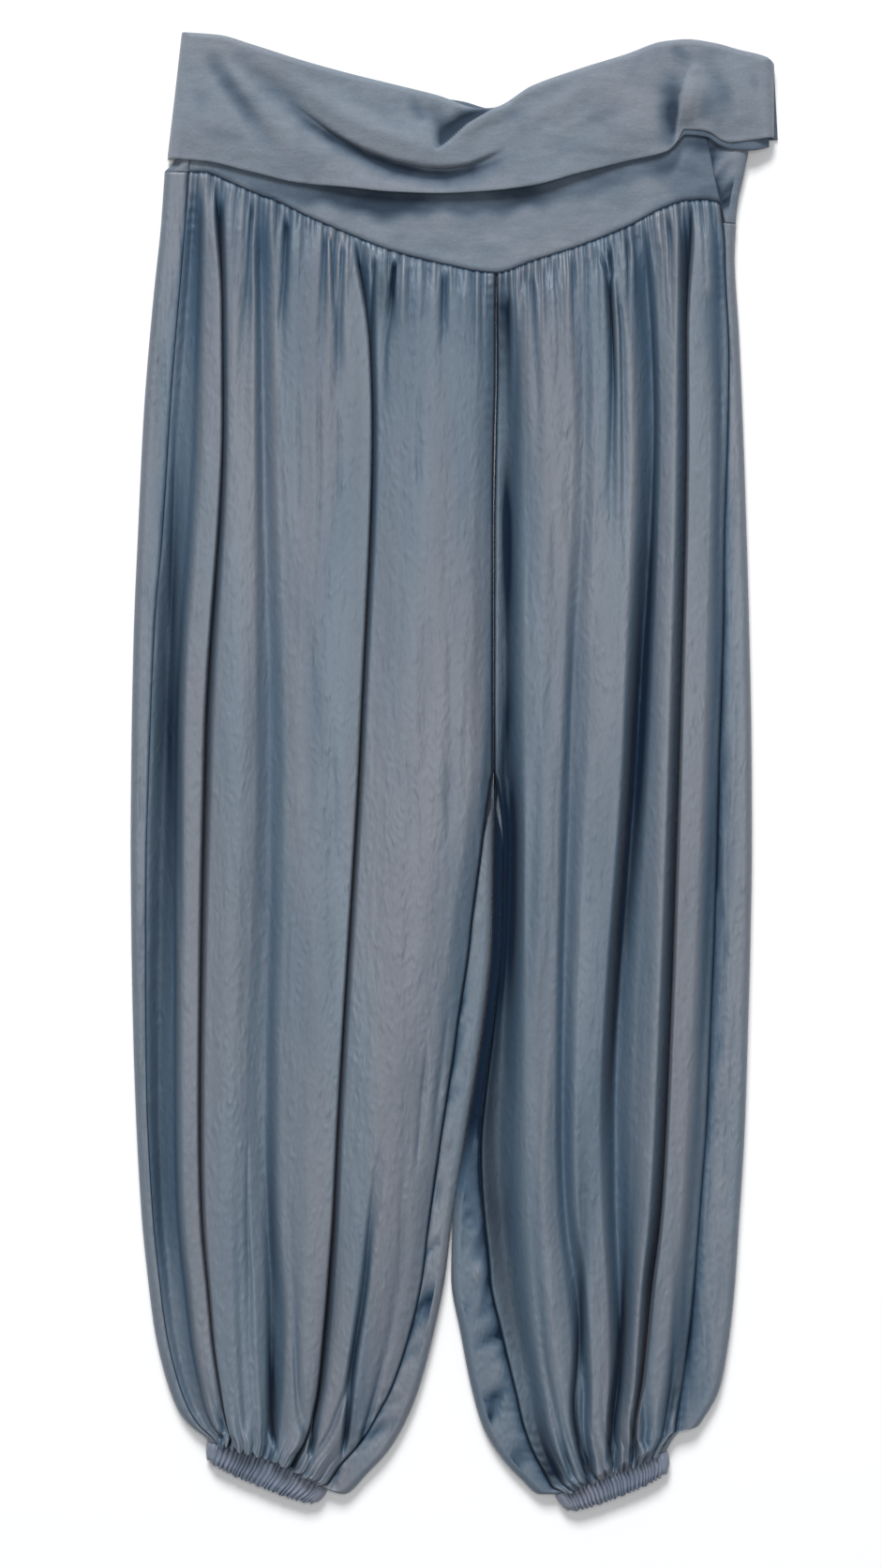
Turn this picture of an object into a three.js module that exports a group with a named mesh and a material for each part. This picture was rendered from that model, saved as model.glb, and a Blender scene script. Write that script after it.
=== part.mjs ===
// Harem pants laid out flat, front up: a fold-over jersey waistband with a pointed yoke, two wide
// gathered legs of silky cloth, each a front and a back panel, and two elastic cuffs.
// Millimetres. +X is to the viewer's right, +Y runs up to the waist, +Z away from the surface.
// Left and right are the viewer's. The underside of the garment rests on z = 0.

import * as THREE from 'three';

// Driving dimensions
const CLOTH = 1.5; // wall of the leg cloth
const JERSEY = 1.8; // wall of the waistband
const SEAM_GAP = 0.3; // between the pieces that are sewn together
const LEG_EDGE = 11; // height of a leg over its rolled side edges
const BAND_EDGE = 11; // height of the waistband over its rolled side edges
const CUFF_HEIGHT = 10.4; // height of a cuff on the surface
const CUFF_RIBS = 26; // elastic ribs across the front of a cuff
const RIB_RISE = 1.1;
const WAIST_GATHERS = 25; // gathers along the seam of each leg
const CUFF_GATHERS = 14; // gathers above each cuff
const GATHER_RISE = 1.6;
const LOWEST_FOLD = 3.4; // the floor of a deep fold lies on the back panel
const FLAP_REST = BAND_EDGE + SEAM_GAP + JERSEY; // the flap where it lies on the band
const FLAP_SWELL = 3.4; // how far the flap stands above that between its folds
const COLUMN_WIDTH = 12; // widest step across a leg panel

const LEG_COLOUR = 0x6b7886;
const BAND_COLOUR = 0x74828f;
const CUFF_COLOUR = 0x6d7a92;

// Small helpers

const clamp = (value, low, high) => Math.min(high, Math.max(low, value));
const lerp = (a, b, share) => a + (b - a) * share;
const ease = (share) => share * share * (3 - 2 * share);
const step = (low, high, value) => ease(clamp((value - low) / (high - low), 0, 1));
const bell = (distance, width) => Math.exp(-((distance / width) ** 2));
const uneven = (index, salt) => {
  const wave = Math.sin(index * 12.9898 + salt * 78.233) * 43758.5453;
  return wave - Math.floor(wave);
};

// Rows of numbers with named columns.
function table(names, rows) {
  const keys = names.split(' ');
  return rows.map((row) => Object.fromEntries(keys.map((key, i) => [key, row[i]])));
}

// A smooth curve through points, with no overshoot between them.
function curve(xs, ys) {
  const last = xs.length - 1;
  const slopes = xs.slice(1).map((x, i) => (ys[i + 1] - ys[i]) / (x - xs[i]));
  const tangents = ys.map((_, i) => {
    if (i === 0) return slopes[0];
    if (i === last) return slopes[last - 1];
    const product = slopes[i - 1] * slopes[i];
    return product <= 0 ? 0 : (2 * product) / (slopes[i - 1] + slopes[i]);
  });
  return (x) => {
    let i = 0;
    while (i < last - 1 && x > xs[i + 1]) i += 1;
    const width = xs[i + 1] - xs[i];
    const u = clamp((x - xs[i]) / width, 0, 1);
    const rise = ease(u) * (ys[i + 1] - ys[i]);
    const leave = u * (1 - u) ** 2 * width * tangents[i];
    const arrive = u * u * (1 - u) * width * tangents[i + 1];
    return ys[i] + rise + leave - arrive;
  };
}

const curveOf = (rows, x, y) => curve(rows.map((row) => row[x]), rows.map((row) => row[y]));

// Edges of the waistband, from left to right

const TOP_EDGE = table('x y', [
  [-186, 503], [-160, 501], [-138, 494.7], [-106, 484.5], [-74, 475.5], [-43, 467.8], [-14, 460.8],
  [5, 456.3], [26, 452], [53, 466.6], [85, 478], [117, 488], [142, 496.6], [158, 498], [177, 495.4],
  [193, 491], [212, 486], [218, 481],
]);
const FLAP_HEM = table('x y', [
  [-195.7, 416.6], [-170, 414.7], [-138, 407.4], [-106, 400], [-74, 396.8], [-43, 393.6],
  [-11, 392.6], [21, 394], [53, 397.8], [85, 406.4], [117, 414.7], [145, 421.8], [152, 429],
  [156, 436.5], [168, 435.8], [174, 434], [181, 429.4], [187, 427.5], [199, 428.8], [218, 431.4],
]);
const YOKE_SEAM = table('x y', [
  [-181, 408.3], [-170, 407.7], [-153, 401.3], [-134, 393], [-120, 387.8], [-99, 377.6],
  [-74, 366.7], [-43, 354.6], [-11, 346.2], [28.3, 339.5], [53, 347.5], [85, 357.8],
  [117, 370.6], [142, 383.4], [158, 388.5], [171, 389], [181, 386.6],
]);
const BACK_HEM = table('x y', [
  [-195.7, 419.6], [-138, 411], [-43, 398], [21, 397], [85, 409], [145, 424], [187, 430], [221, 431],
]);
const topEdge = curveOf(TOP_EDGE, 'x', 'y');
const backHem = curveOf(BACK_HEM, 'x', 'y');
const flapHem = curveOf(FLAP_HEM, 'x', 'y');
const yokeSeam = curveOf(YOKE_SEAM, 'x', 'y');
// The back yoke reaches lower at the right side.
const BACK_YOKE_DROP = 14;
const YOKE_POINT = 28.3;
const YOKE_RIGHT = 193;
function backSeam(x) {
  return yokeSeam(x) - BACK_YOKE_DROP * clamp((x - YOKE_POINT) / (YOKE_RIGHT - YOKE_POINT), 0, 1);
}

// Sections of each leg, from the yoke seam to the cuff. A strip is how far the back panel comes
// round the edge to the seam with the front panel.
const SECTION_COLUMNS = 'leftY leftX leftStrip rightY rightX rightStrip';
const LEFT_SECTIONS = table(SECTION_COLUMNS, [
  [408.0, -197.6, 17, 339.2, 28.0, 0],
  [373, -200, 17, 315, 28, 0],
  [322, -205.3, 18, 271, 28, 0],
  [245, -211.7, 18, 226, 27, 0],
  [168, -215.5, 17, 162, 26.2, 0],
  [92, -218.7, 14, 92, 26.2, 0],
  [15, -220.2, 12.5, 15, 26.2, 0],
  [-49, -220.7, 11, -49, 25.7, 6.5],
  [-113, -220.2, 10, -113, 24.8, 13.7],
  [-177, -219, 9, -177, 18.4, 16.5],
  [-241, -216.8, 8, -241, 8.4, 16],
  [-305, -213, 8, -305, -1.8, 15],
  [-344, -209, 8, -344, -6.5, 15],
  [-382, -204, 8, -382, -14, 16],
  [-420, -194.4, 8, -420, -24.2, 18.5],
  [-436, -187.4, 8, -441, -32.5, 21],
  [-445, -180.4, 7.5, -462, -44.7, 21],
  [-450.6, -173.3, 7, -477.4, -58.8, 19],
  [-453, -170, 6.5, -492, -74.8, 14],
  [-455.7, -168.2, 6.5, -489, -86.3, 8],
]);
const RIGHT_SECTIONS = table(SECTION_COLUMNS, [
  [339.2, 28.6, 0, 386.3, 193, 12.4],
  [312, 28.6, 0, 351, 191, 7],
  [271, 28.8, 0, 296, 194, 7.5],
  [226, 28, 0, 235.5, 196.6, 10.5],
  [162, 27, 0, 165, 199, 15],
  [92, 27, 0, 92, 201, 18],
  [15, 27, 0, 15, 202.4, 22],
  [-49, 26.3, 6.5, -49, 202.7, 24],
  [-113, 25.4, 6.5, -113, 201.7, 25],
  [-177, 19, 6.5, -177, 200, 26],
  [-241, 9, 9, -241, 197.9, 26.5],
  [-305, -1.2, 21, -305, 194, 27.5],
  [-344, -2.4, 26, -344, 191.5, 28],
  [-382, 4, 27.5, -382, 187.6, 28],
  [-420, 11.6, 29, -420, 180.6, 26],
  [-446, 19.3, 27, -438.4, 171, 20],
  [-466.6, 31.5, 22, -446, 165, 15],
  [-482, 45.6, 16, -448, 155.6, 8],
  [-492, 57.7, 11, -453, 149.9, 6.5],
  [-492, 68, 8, -461.4, 144.8, 6.5],
]);
const LAST_SECTION = LEFT_SECTIONS.length - 1;
const CROTCH = [6, 7]; // the back panel's inner edge turns up between these sections

// Lines along each front panel: where each lies across the panel, from 0 at its left edge to 1 at
// its right edge, at seven stations, and its height at five of them.
const STATIONS = { waist: 0, hip: 3, thigh: 6, knee: 10, shin: 13, ankle: 16.5, cuff: LAST_SECTION };
const HEIGHT_STATIONS = [0, 1.2, 3, 6, 10, 13, 16.5, 18, LAST_SECTION];
const LINE_COLUMNS = 'line waist hip thigh knee shin ankle cuff zHip zThigh zKnee zShin zAnkle';
const LEFT_LINES = table(LINE_COLUMNS, [
  ['side seam', 0, 0, 0, 0, 0, 0, 0, 11, 11, 11, 11, 11],
  ['side hollow', 0.02, 0.03, 0.045, 0.038, 0.035, 0.035, 0.03, 8, 6, 6, 8, 9],
  ['side crest', 0.05, 0.112, 0.13, 0.148, 0.15, 0.11, 0.07, 15, 17, 16, 16, 15],
  ['deep fold floor', 0.08, 0.142, 0.157, 0.176, 0.178, 0.14, 0.1, 7, 3.4, 4, 6, 8],
  ['deep fold lip', 0.1, 0.168, 0.185, 0.203, 0.205, 0.17, 0.13, 17, 20, 19, 18, 17],
  ['outer plateau', 0.16, 0.21, 0.26, 0.28, 0.28, 0.25, 0.22, 18, 21, 20, 19, 18],
  ['valley brink', 0.2, 0.25, 0.3, 0.32, 0.35, 0.35, 0.38, 17, 19, 18, 17, 17],
  ['valley floor', 0.233, 0.285, 0.35, 0.395, 0.445, 0.44, 0.47, 12.5, 12.2, 12.2, 12, 12],
  ['valley rise', 0.28, 0.33, 0.4, 0.45, 0.5, 0.5, 0.53, 17, 19, 19, 18, 17],
  ['middle plateau', 0.42, 0.48, 0.52, 0.55, 0.57, 0.58, 0.62, 19, 21, 21, 20, 19],
  ['sharp fold lip', 0.515, 0.583, 0.595, 0.625, 0.635, 0.66, 0.71, 18, 20, 20, 18, 17],
  ['sharp fold floor', 0.537, 0.607, 0.617, 0.65, 0.665, 0.7, 0.745, 8, 5, 5, 6, 8],
  ['sharp fold rise', 0.56, 0.632, 0.643, 0.682, 0.7, 0.745, 0.78, 16, 18, 17, 16, 15],
  ['inner plateau', 0.72, 0.78, 0.78, 0.79, 0.8, 0.82, 0.85, 19, 21, 20, 18, 17],
  ['inner fall', 0.9, 0.93, 0.93, 0.91, 0.9, 0.92, 0.93, 17, 18, 17, 15, 14],
  ['inner brink', 0.965, 0.965, 0.965, 0.955, 0.955, 0.965, 0.965, 15, 15, 15, 13, 12.5],
  ['inner seam', 1, 1, 1, 1, 1, 1, 1, 11, 11, 11, 11, 11],
]);
const RIGHT_LINES = table(LINE_COLUMNS, [
  ['inner seam', 0, 0, 0, 0, 0, 0, 0, 9, 8, 8, 10, 11],
  ['centre fold floor', 0.04, 0.06, 0.045, 0.08, 0.08, 0.06, 0.05, 7, 5.5, 5.5, 9, 10],
  ['centre fold rise', 0.08, 0.115, 0.12, 0.2, 0.2, 0.17, 0.13, 16, 18, 18, 17, 16],
  ['inner plateau', 0.2, 0.22, 0.22, 0.27, 0.28, 0.25, 0.2, 19, 20, 20, 19, 18],
  ['middle brink', 0.32, 0.33, 0.29, 0.32, 0.36, 0.31, 0.26, 18, 19, 18, 17, 17],
  ['middle floor', 0.36, 0.38, 0.34, 0.36, 0.42, 0.36, 0.3, 16, 15, 14, 12.5, 11],
  ['middle rise', 0.4, 0.43, 0.42, 0.42, 0.48, 0.42, 0.37, 18, 19, 19, 18, 17],
  ['wide fold brink', 0.56, 0.58, 0.55, 0.5, 0.56, 0.5, 0.46, 18, 19, 18, 16, 16],
  ['wide fold floor', 0.647, 0.665, 0.61, 0.57, 0.63, 0.56, 0.52, 8, 5, 5, 7, 9.8],
  ['wide fold shelf', 0.7, 0.715, 0.69, 0.67, 0.68, 0.62, 0.59, 13, 14, 14, 15, 15],
  ['outer crest', 0.8, 0.77, 0.765, 0.76, 0.72, 0.67, 0.65, 18, 19, 19, 19, 17],
  ['sharp fold floor', 0.853, 0.828, 0.83, 0.82, 0.775, 0.73, 0.71, 7, 4, 4, 6, 8],
  ['sharp fold lip', 0.88, 0.855, 0.86, 0.86, 0.83, 0.77, 0.76, 18, 20, 20, 19, 17],
  ['outer plateau', 0.93, 0.92, 0.92, 0.905, 0.88, 0.84, 0.83, 18, 19, 19, 18, 17],
  ['side hollow', 0.975, 0.975, 0.97, 0.965, 0.965, 0.95, 0.95, 9, 7, 7, 8, 9],
  ['side seam', 1, 1, 1, 1, 1, 1, 1, 11, 11, 11, 11, 11],
]);

// Short pleats: where each lies across the front panel, and where it starts and ends in
// millimetres below the yoke seam.
const PLEAT_COLUMNS = 'across start end depth width';
const LEFT_PLEATS = table(PLEAT_COLUMNS, [
  [0.21, 4, 120, 3.5, 4], [0.32, 4, 90, 3.5, 5], [0.45, 4, 110, 3, 5], [0.505, 4, 130, 3.5, 5],
  [0.605, 4, 90, 4, 4], [0.67, 4, 62, 5, 5], [0.83, 4, 70, 2.5, 6], [0.785, 640, 880, 6, 5],
  [0.335, 640, 860, 5, 5],
]);
const RIGHT_PLEATS = table(PLEAT_COLUMNS, [
  [0.15, 4, 90, 3.5, 5], [0.21, 4, 60, 2.5, 5], [0.34, 4, 60, 2, 5], [0.5, 4, 210, 4.5, 4],
  [0.58, 4, 90, 3, 5], [0.76, 4, 80, 3, 5],
]);

// Folds on the turned-down part of the waistband. A positive depth sinks, a negative one rises.
const FLAP_FOLDS = table('depth above below path', [
  [8, 5, 7, [[-157, 485], [-106, 450.5], [-77, 433.3], [-55, 423], [-33, 414.7], [-11, 411.5],
    [11, 412], [27.6, 419.2]]],
  [-6, 13, 12, [[-132, 479], [-74, 452], [-30, 435], [-8, 428]]],
  [5, 5, 5, [[26.4, 453], [9, 439.7], [-4.4, 426.9], [-8, 421]]],
  [-5, 10, 10, [[42, 455], [24, 438], [10, 422]]],
  [-3, 16, 16, [[53, 444], [100, 462], [140, 478]]],
  [-5, 8, 8, [[161, 473.6], [157, 455], [154, 441]]],
  [5, 6, 6, [[154, 471], [146, 455], [142, 440]]],
  [4, 7, 7, [[165, 483], [168, 481]]],
  [3.5, 8, 7, [[164, 495], [180.6, 464.6], [189.6, 446]]],
  [3, 10, 9, [[-172.7, 488], [-148, 448], [-124.7, 418]]],
]);

// Walls made of rows of points

// Triangles between two rows whose points have a place "t" along the row.
function zip(rowA, rowB, faces) {
  let i = 0;
  let j = 0;
  while (i < rowA.length - 1 || j < rowB.length - 1) {
    const nextA = i < rowA.length - 1 ? rowA[i + 1].t : Infinity;
    const nextB = j < rowB.length - 1 ? rowB[j + 1].t : Infinity;
    if (nextA <= nextB) {
      faces.push([rowA[i], rowB[j], rowA[i + 1]]);
      i += 1;
    } else {
      faces.push([rowA[i], rowB[j], rowB[j + 1]]);
      j += 1;
    }
  }
}

const column = (rows, pick) => rows.map((row, i) => ({ t: i, source: pick(row) }));
const endFaces = (columnA, columnB, faces) => {
  const raw = [];
  zip(columnA, columnB, raw);
  raw.forEach((face) => faces.push(face.map((corner) => corner.source)));
};

// A closed wall between an outer and an inner skin with the same number of rows.
function wallFaces(outer, inner) {
  const faces = [];
  const last = outer.length - 1;
  zip(inner[0], outer[0], faces);
  for (let i = 0; i < last; i += 1) {
    zip(outer[i], outer[i + 1], faces);
    zip(inner[i + 1], inner[i], faces);
  }
  zip(outer[last], inner[last], faces);
  endFaces(column(outer, (row) => row[0]), column(inner, (row) => row[0]), faces);
  endFaces(column(inner, (row) => row.at(-1)), column(outer, (row) => row.at(-1)), faces);
  return faces;
}

// A closed wall between outer and inner rings, each ring closed on itself.
function tubeFaces(outer, inner) {
  const faces = [];
  const loop = [...outer, ...inner.slice().reverse()];
  const count = outer[0].length;
  loop.forEach((ring, i) => {
    const next = loop[(i + 1) % loop.length];
    for (let j = 0; j < count; j += 1) {
      const k = (j + 1) % count;
      faces.push([ring[j], ring[k], next[j]], [ring[k], next[k], next[j]]);
    }
  });
  return faces;
}

function solid(name, faces, colour, roughness) {
  const numbers = new Map();
  const positions = [];
  const indices = [];
  faces.forEach((face) => {
    face.forEach((corner) => {
      if (!numbers.has(corner)) {
        numbers.set(corner, numbers.size);
        positions.push(corner.x, corner.y, corner.z);
      }
      indices.push(numbers.get(corner));
    });
  });
  const geometry = new THREE.BufferGeometry();
  geometry.setAttribute('position', new THREE.Float32BufferAttribute(positions, 3));
  geometry.setIndex(indices);
  geometry.computeVertexNormals();
  const material = new THREE.MeshStandardMaterial({ color: colour, roughness, metalness: 0 });
  const mesh = new THREE.Mesh(geometry, material);
  mesh.name = name;
  return mesh;
}

// The inner skin under a row of an upper wall, a wall's thickness below it along its slope.
function underside(row, thickness, lowest) {
  const steepest = 3.2;
  return row.map((point, i) => {
    const before = row[Math.max(0, i - 1)];
    const after = row[Math.min(row.length - 1, i + 1)];
    const run = Math.hypot(after.x - before.x, after.y - before.y);
    const slope = Math.hypot(run, after.z - before.z) / run;
    const drop = thickness * Math.min(slope, steepest);
    return { ...point, z: Math.max(point.z - drop, lowest) };
  });
}

// Leg sections

const SECTION_NUMBERS = LEFT_SECTIONS.map((_, i) => i);

function legShape(sections, lines, pleats, cuffForm, isLeft) {
  const columns = Object.keys(sections[0]);
  const edges = Object.fromEntries(
    columns.map((key) => [key, curve(SECTION_NUMBERS, sections.map((row) => row[key]))]),
  );
  const stations = Object.values(STATIONS);
  const places = lines.map((line) => curve(stations, Object.keys(STATIONS).map((key) => line[key])));
  const heights = lines.map((line) => curve(HEIGHT_STATIONS, [
    LEG_EDGE - 0.4, line.zHip, line.zHip, line.zThigh, line.zKnee, line.zShin, line.zAnkle,
    line.zAnkle, CUFF_HEIGHT,
  ]));
  return { edges, places, heights, pleats, cuffForm, isLeft };
}

// A cuff's length along the leg, and how far its seam bows up into the leg.
const LEFT_CUFF = { depth: 14.5, bow: 6.5 };
const RIGHT_CUFF = { depth: 17, bow: 0 };
const LEFT_LEG = legShape(LEFT_SECTIONS, LEFT_LINES, LEFT_PLEATS, LEFT_CUFF, true);
const RIGHT_LEG = legShape(RIGHT_SECTIONS, RIGHT_LINES, RIGHT_PLEATS, RIGHT_CUFF, false);

// A section's two edges. The back yoke reaches lower at the right side, so there the back
// panel starts a little further down its edge.
const BACK_RIGHT_START = 0.4;
function sectionEnds(leg, s, isBack) {
  const late = isBack && !leg.isLeft && s < 1;
  const rightS = late ? lerp(BACK_RIGHT_START, 1, s) : s;
  const { leftX, leftY, leftStrip, rightX, rightY, rightStrip } = leg.edges;
  return {
    left: { x: leftX(s), y: leftY(s), strip: leftStrip(s) },
    right: { x: rightX(rightS), y: rightY(rightS), strip: rightStrip(rightS) },
  };
}

// A point of a section, from 0 at its left edge to 1 at its right edge. Near the waist the
// sections bend with the yoke seam.
const SEAM_BEND_ENDS = 4;
const BOW_ROWS = [15, LAST_SECTION];
function sectionPlace(leg, s, share, isBack = false) {
  const { left, right } = sectionEnds(leg, s, isBack);
  const rise = leg.cuffForm.bow * Math.sin(Math.PI * clamp(share, 0, 1)) * step(...BOW_ROWS, s);
  const width = Math.hypot(right.x - left.x, right.y - left.y);
  const x = lerp(left.x, right.x, share) - (rise * (right.y - left.y)) / width;
  const y = lerp(left.y, right.y, share) + (rise * (right.x - left.x)) / width;
  if (s >= SEAM_BEND_ENDS) return { x, y };
  const top = sectionEnds(leg, 0, isBack);
  const topX = lerp(top.left.x, top.right.x, share);
  const seam = (isBack ? backSeam(topX) : yokeSeam(topX)) - SEAM_GAP;
  const bend = seam - lerp(top.left.y, top.right.y, share);
  return { x, y: y + bend * (1 - s / SEAM_BEND_ENDS) ** 1.5 };
}

// The shares of a section that its front panel covers, between its seams with the back panel.
function frontShares(leg, s) {
  const { left, right } = sectionEnds(leg, s, false);
  const width = Math.hypot(right.x - left.x, right.y - left.y);
  const inset = (strip) => (strip > 1 ? strip + SEAM_GAP : 0) / width;
  return { start: inset(left.strip), end: 1 - inset(right.strip), width };
}

function panelPlace(leg, s, t) {
  const { start, end } = frontShares(leg, s);
  return sectionPlace(leg, s, lerp(start, end, t));
}

// The height of a front panel, without its gathers.
const PLEAT_STARTS = 12; // a pleat deepens over this length
function panelHeight(leg, s, t, place) {
  const across = leg.places.map((line) => line(s));
  const level = curve(across, leg.heights.map((line) => line(s)))(t);
  const top = panelPlace(leg, 0, t);
  const below = top.y - place.y;
  const { width } = frontShares(leg, s);
  const sunk = leg.pleats.reduce((sum, pleat) => {
    const { start, end } = pleat;
    const fade = step(start, start + PLEAT_STARTS, below) * (1 - step(lerp(start, end, 0.5), end, below));
    return sum + pleat.depth * fade * bell((t - pleat.across) * width, pleat.width);
  }, 0);
  return Math.max(level - sunk, LOWEST_FOLD);
}

// Gathers of uneven width along a seam: a peak between two troughs each.
function gatherPlaces(count, salt) {
  const widths = Array.from({ length: count }, (_, i) => 0.7 + 0.6 * uneven(i, salt));
  const total = widths.reduce((sum, width) => sum + width, 0);
  let start = 0;
  return widths.map((width, i) => {
    const gather = {
      start,
      peak: start + (width / total) * (0.4 + 0.2 * uneven(i, salt + 1)),
      end: start + width / total,
      reach: 22 + 34 * uneven(i, salt + 2),
      rise: GATHER_RISE * (0.7 + 0.3 * uneven(i, salt + 3)),
    };
    start = gather.end;
    return gather;
  });
}

function gatherRise(gathers, t, distance) {
  const gather = gathers.find((one) => t <= one.end) ?? gathers.at(-1);
  const side = t < gather.peak
    ? (t - gather.start) / (gather.peak - gather.start)
    : (gather.end - t) / (gather.end - gather.peak);
  return gather.rise * ease(clamp(side, 0, 1)) * Math.exp(-((distance / gather.reach) ** 2));
}

// Places across a panel: its lines, with even steps between those that lie far apart.
function lineColumns(leg, s) {
  const across = leg.places.map((line) => line(s));
  const widest = 245;
  const middle = leg.places.map((line) => line(STATIONS.thigh));
  const list = [0];
  for (let i = 1; i < across.length; i += 1) {
    const parts = Math.max(1, Math.round(((middle[i] - middle[i - 1]) * widest) / COLUMN_WIDTH));
    for (let k = 1; k <= parts; k += 1) list.push(lerp(across[i - 1], across[i], k / parts));
  }
  return list;
}

function withGathers(list, gathers) {
  const closest = 0.006;
  const marks = gathers.flatMap((gather) => [gather.peak, gather.end]).slice(0, -1);
  const kept = marks.filter((mark) => list.every((place) => Math.abs(place - mark) > closest));
  return [...list, ...kept].sort((a, b) => a - b);
}

const TOP_ROWS = [0, 0.12, 0.3, 0.6, 1, 1.5];
const LONG_ROWS = [2.2, 3, 4, 5, 6, 7, 8, 9, 10, 11, 12, 13, 14, 15];
const LOW_ROWS = [15.8, 16.5, 17.2, 17.9, 18.5, LAST_SECTION];

function legFront(name, leg, salt) {
  const waistGathers = gatherPlaces(WAIST_GATHERS, salt);
  const cuffGathers = gatherPlaces(CUFF_GATHERS, salt + 10);
  const outer = [];
  const inner = [];
  const addRow = (s, gathers, distanceAt) => {
    const plain = lineColumns(leg, s);
    const fine = gathers ? withGathers(plain, gathers) : plain;
    const pointAt = (t) => {
      const place = panelPlace(leg, s, t);
      return { t, ...place, z: panelHeight(leg, s, t, place) };
    };
    outer.push(fine.map((t) => {
      const point = pointAt(t);
      const rise = gathers ? gatherRise(gathers, t, distanceAt(t, point)) : 0;
      return { ...point, z: point.z + rise };
    }));
    inner.push(underside(plain.map(pointAt), CLOTH, CLOTH + SEAM_GAP));
  };
  const belowSeam = (t, point) => panelPlace(leg, 0, t).y - point.y;
  const aboveCuff = (t, point) => {
    const end = panelPlace(leg, LAST_SECTION, t);
    return Math.hypot(end.x - point.x, end.y - point.y);
  };
  TOP_ROWS.forEach((s) => addRow(s, waistGathers, belowSeam));
  LONG_ROWS.forEach((s) => addRow(s, null, null));
  LOW_ROWS.forEach((s) => addRow(s, cuffGathers, aboveCuff));
  return solid(name, wallFaces(outer, inner), LEG_COLOUR, 0.55);
}

// Back panels: flat on the surface, with edges that turn up and come over to the seams

const ARC_STEPS = 5;

// One turned edge in its own section: outer and inner points from the floor outwards, with the
// edge's outermost point at q = 0 and the floor at negative q.
function turnedEdge(height, strip, turn, thickness) {
  const radius = height / 2;
  const bend = Math.PI * turn;
  const tail = Math.max(strip - radius, 0.6);
  const reach = turn >= 0.5 ? radius : radius * Math.sin(bend) + tail * Math.cos(bend);
  const skin = (r) => {
    const points = [];
    for (let k = 0; k <= ARC_STEPS; k += 1) {
      const angle = (bend * k) / ARC_STEPS;
      points.push({ q: -reach + r * Math.sin(angle), z: radius - r * Math.cos(angle) });
    }
    const end = points.at(-1);
    points.push({ q: end.q + tail * Math.cos(bend), z: end.z + tail * Math.sin(bend) });
    return points;
  };
  return { outer: skin(radius), inner: skin(radius - thickness) };
}

// A section of a back panel, from its right seam edge to its left seam edge. "place" gives the
// point of the surface at a share of the width, and "floor" the shares that have a point there.
function backSection(shape, thickness) {
  const { width, place, lift, floor, height } = shape;
  const leftEdge = turnedEdge(height, shape.leftStrip, shape.leftTurn, thickness);
  const rightEdge = turnedEdge(height, shape.rightStrip, shape.rightTurn, thickness);
  const skin = (which, level) => {
    const rightPart = rightEdge[which].map(({ q, z }) => ({ q: width + q, z })).reverse();
    const leftPart = leftEdge[which].map(({ q, z }) => ({ q: -q, z }));
    const clear = 2;
    const middle = floor
      .map((share) => ({ q: share * width, z: level }))
      .filter(({ q }) => q < rightPart.at(-1).q - clear && q > leftPart[0].q + clear)
      .sort((a, b) => b.q - a.q);
    return [...rightPart, ...middle, ...leftPart].map(({ q, z }, i, all) => {
      const spot = place(q / width);
      return { t: i / (all.length - 1), x: spot.x, y: spot.y, z: z + lift(spot) };
    });
  };
  return { outer: skin('outer', 0), inner: skin('inner', thickness) };
}

const evenShares = (count) => Array.from({ length: count }, (_, i) => (i + 1) / (count + 1));
const BACK_ROWS = [0, 0.5, 1, 1.5, 2.2, 3, 4, 5, 6, 6.35, 6.7, 7, 8, 9, 10, 11, 12, 13, 14, 15,
  15.8, 16.5, 17.2, 17.9, 18.5, LAST_SECTION];

function legBack(name, leg) {
  const outer = [];
  const inner = [];
  BACK_ROWS.forEach((s) => {
    const { left, right } = sectionEnds(leg, s, true);
    const innerTurn = step(CROTCH[0], CROTCH[1], s);
    const seamShares = YOKE_SEAM.map(({ x }) => (x - left.x) / (right.x - left.x));
    const section = backSection({
      width: Math.hypot(right.x - left.x, right.y - left.y),
      leftStrip: left.strip,
      rightStrip: right.strip,
      leftTurn: leg.isLeft ? 1 : innerTurn,
      rightTurn: leg.isLeft ? innerTurn : 1,
      height: lerp(LEG_EDGE, CUFF_HEIGHT, step(14, LAST_SECTION, s)),
      place: (share) => sectionPlace(leg, s, share, true),
      floor: s < 1 ? seamShares : evenShares(3),
      lift: () => 0,
    }, CLOTH);
    outer.push(section.outer);
    inner.push(section.inner);
  });
  return solid(name, wallFaces(outer, inner), LEG_COLOUR, 0.55);
}

// Waistband

// Its side edges, and the side seams where the back that comes round them meets the front.
const BAND_SIDES = table('y leftX leftSeam rightSeam rightX', [
  [372, -200, -182.4, 184.1, 191.4],
  [387, -199, -181.65, 180.9, 193],
  [408, -197.6, -180.6, 176.4, 197.5],
  [413, -193, -180.35, 175.4, 198.5],
  [420, -189.5, -180, 173.9, 200],
  [455, -186, -178.25, 166.5, 205],
  [500, -181, -176, 156.9, 208],
]);
const bandSide = Object.fromEntries(
  Object.keys(BAND_SIDES[0]).map((key) => [key, curveOf(BAND_SIDES, 'y', key)]),
);
const FOLD_INSET = 3.2; // the band ends this far inside the fold at the top
// The back of the waist stands a little above the front's dip.
const backPeek = (x) => 7 * bell(x - 8, 15);
const BAND_ROWS = [0, 0.25, 0.5, 0.75, 1]; // from the top fold to the yoke seam

// The height up the garment of a row of the band, from its top fold to its yoke seam.
const frontRow = (down) => (x) => lerp(topEdge(x) - FOLD_INSET, yokeSeam(x), down);
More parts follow.
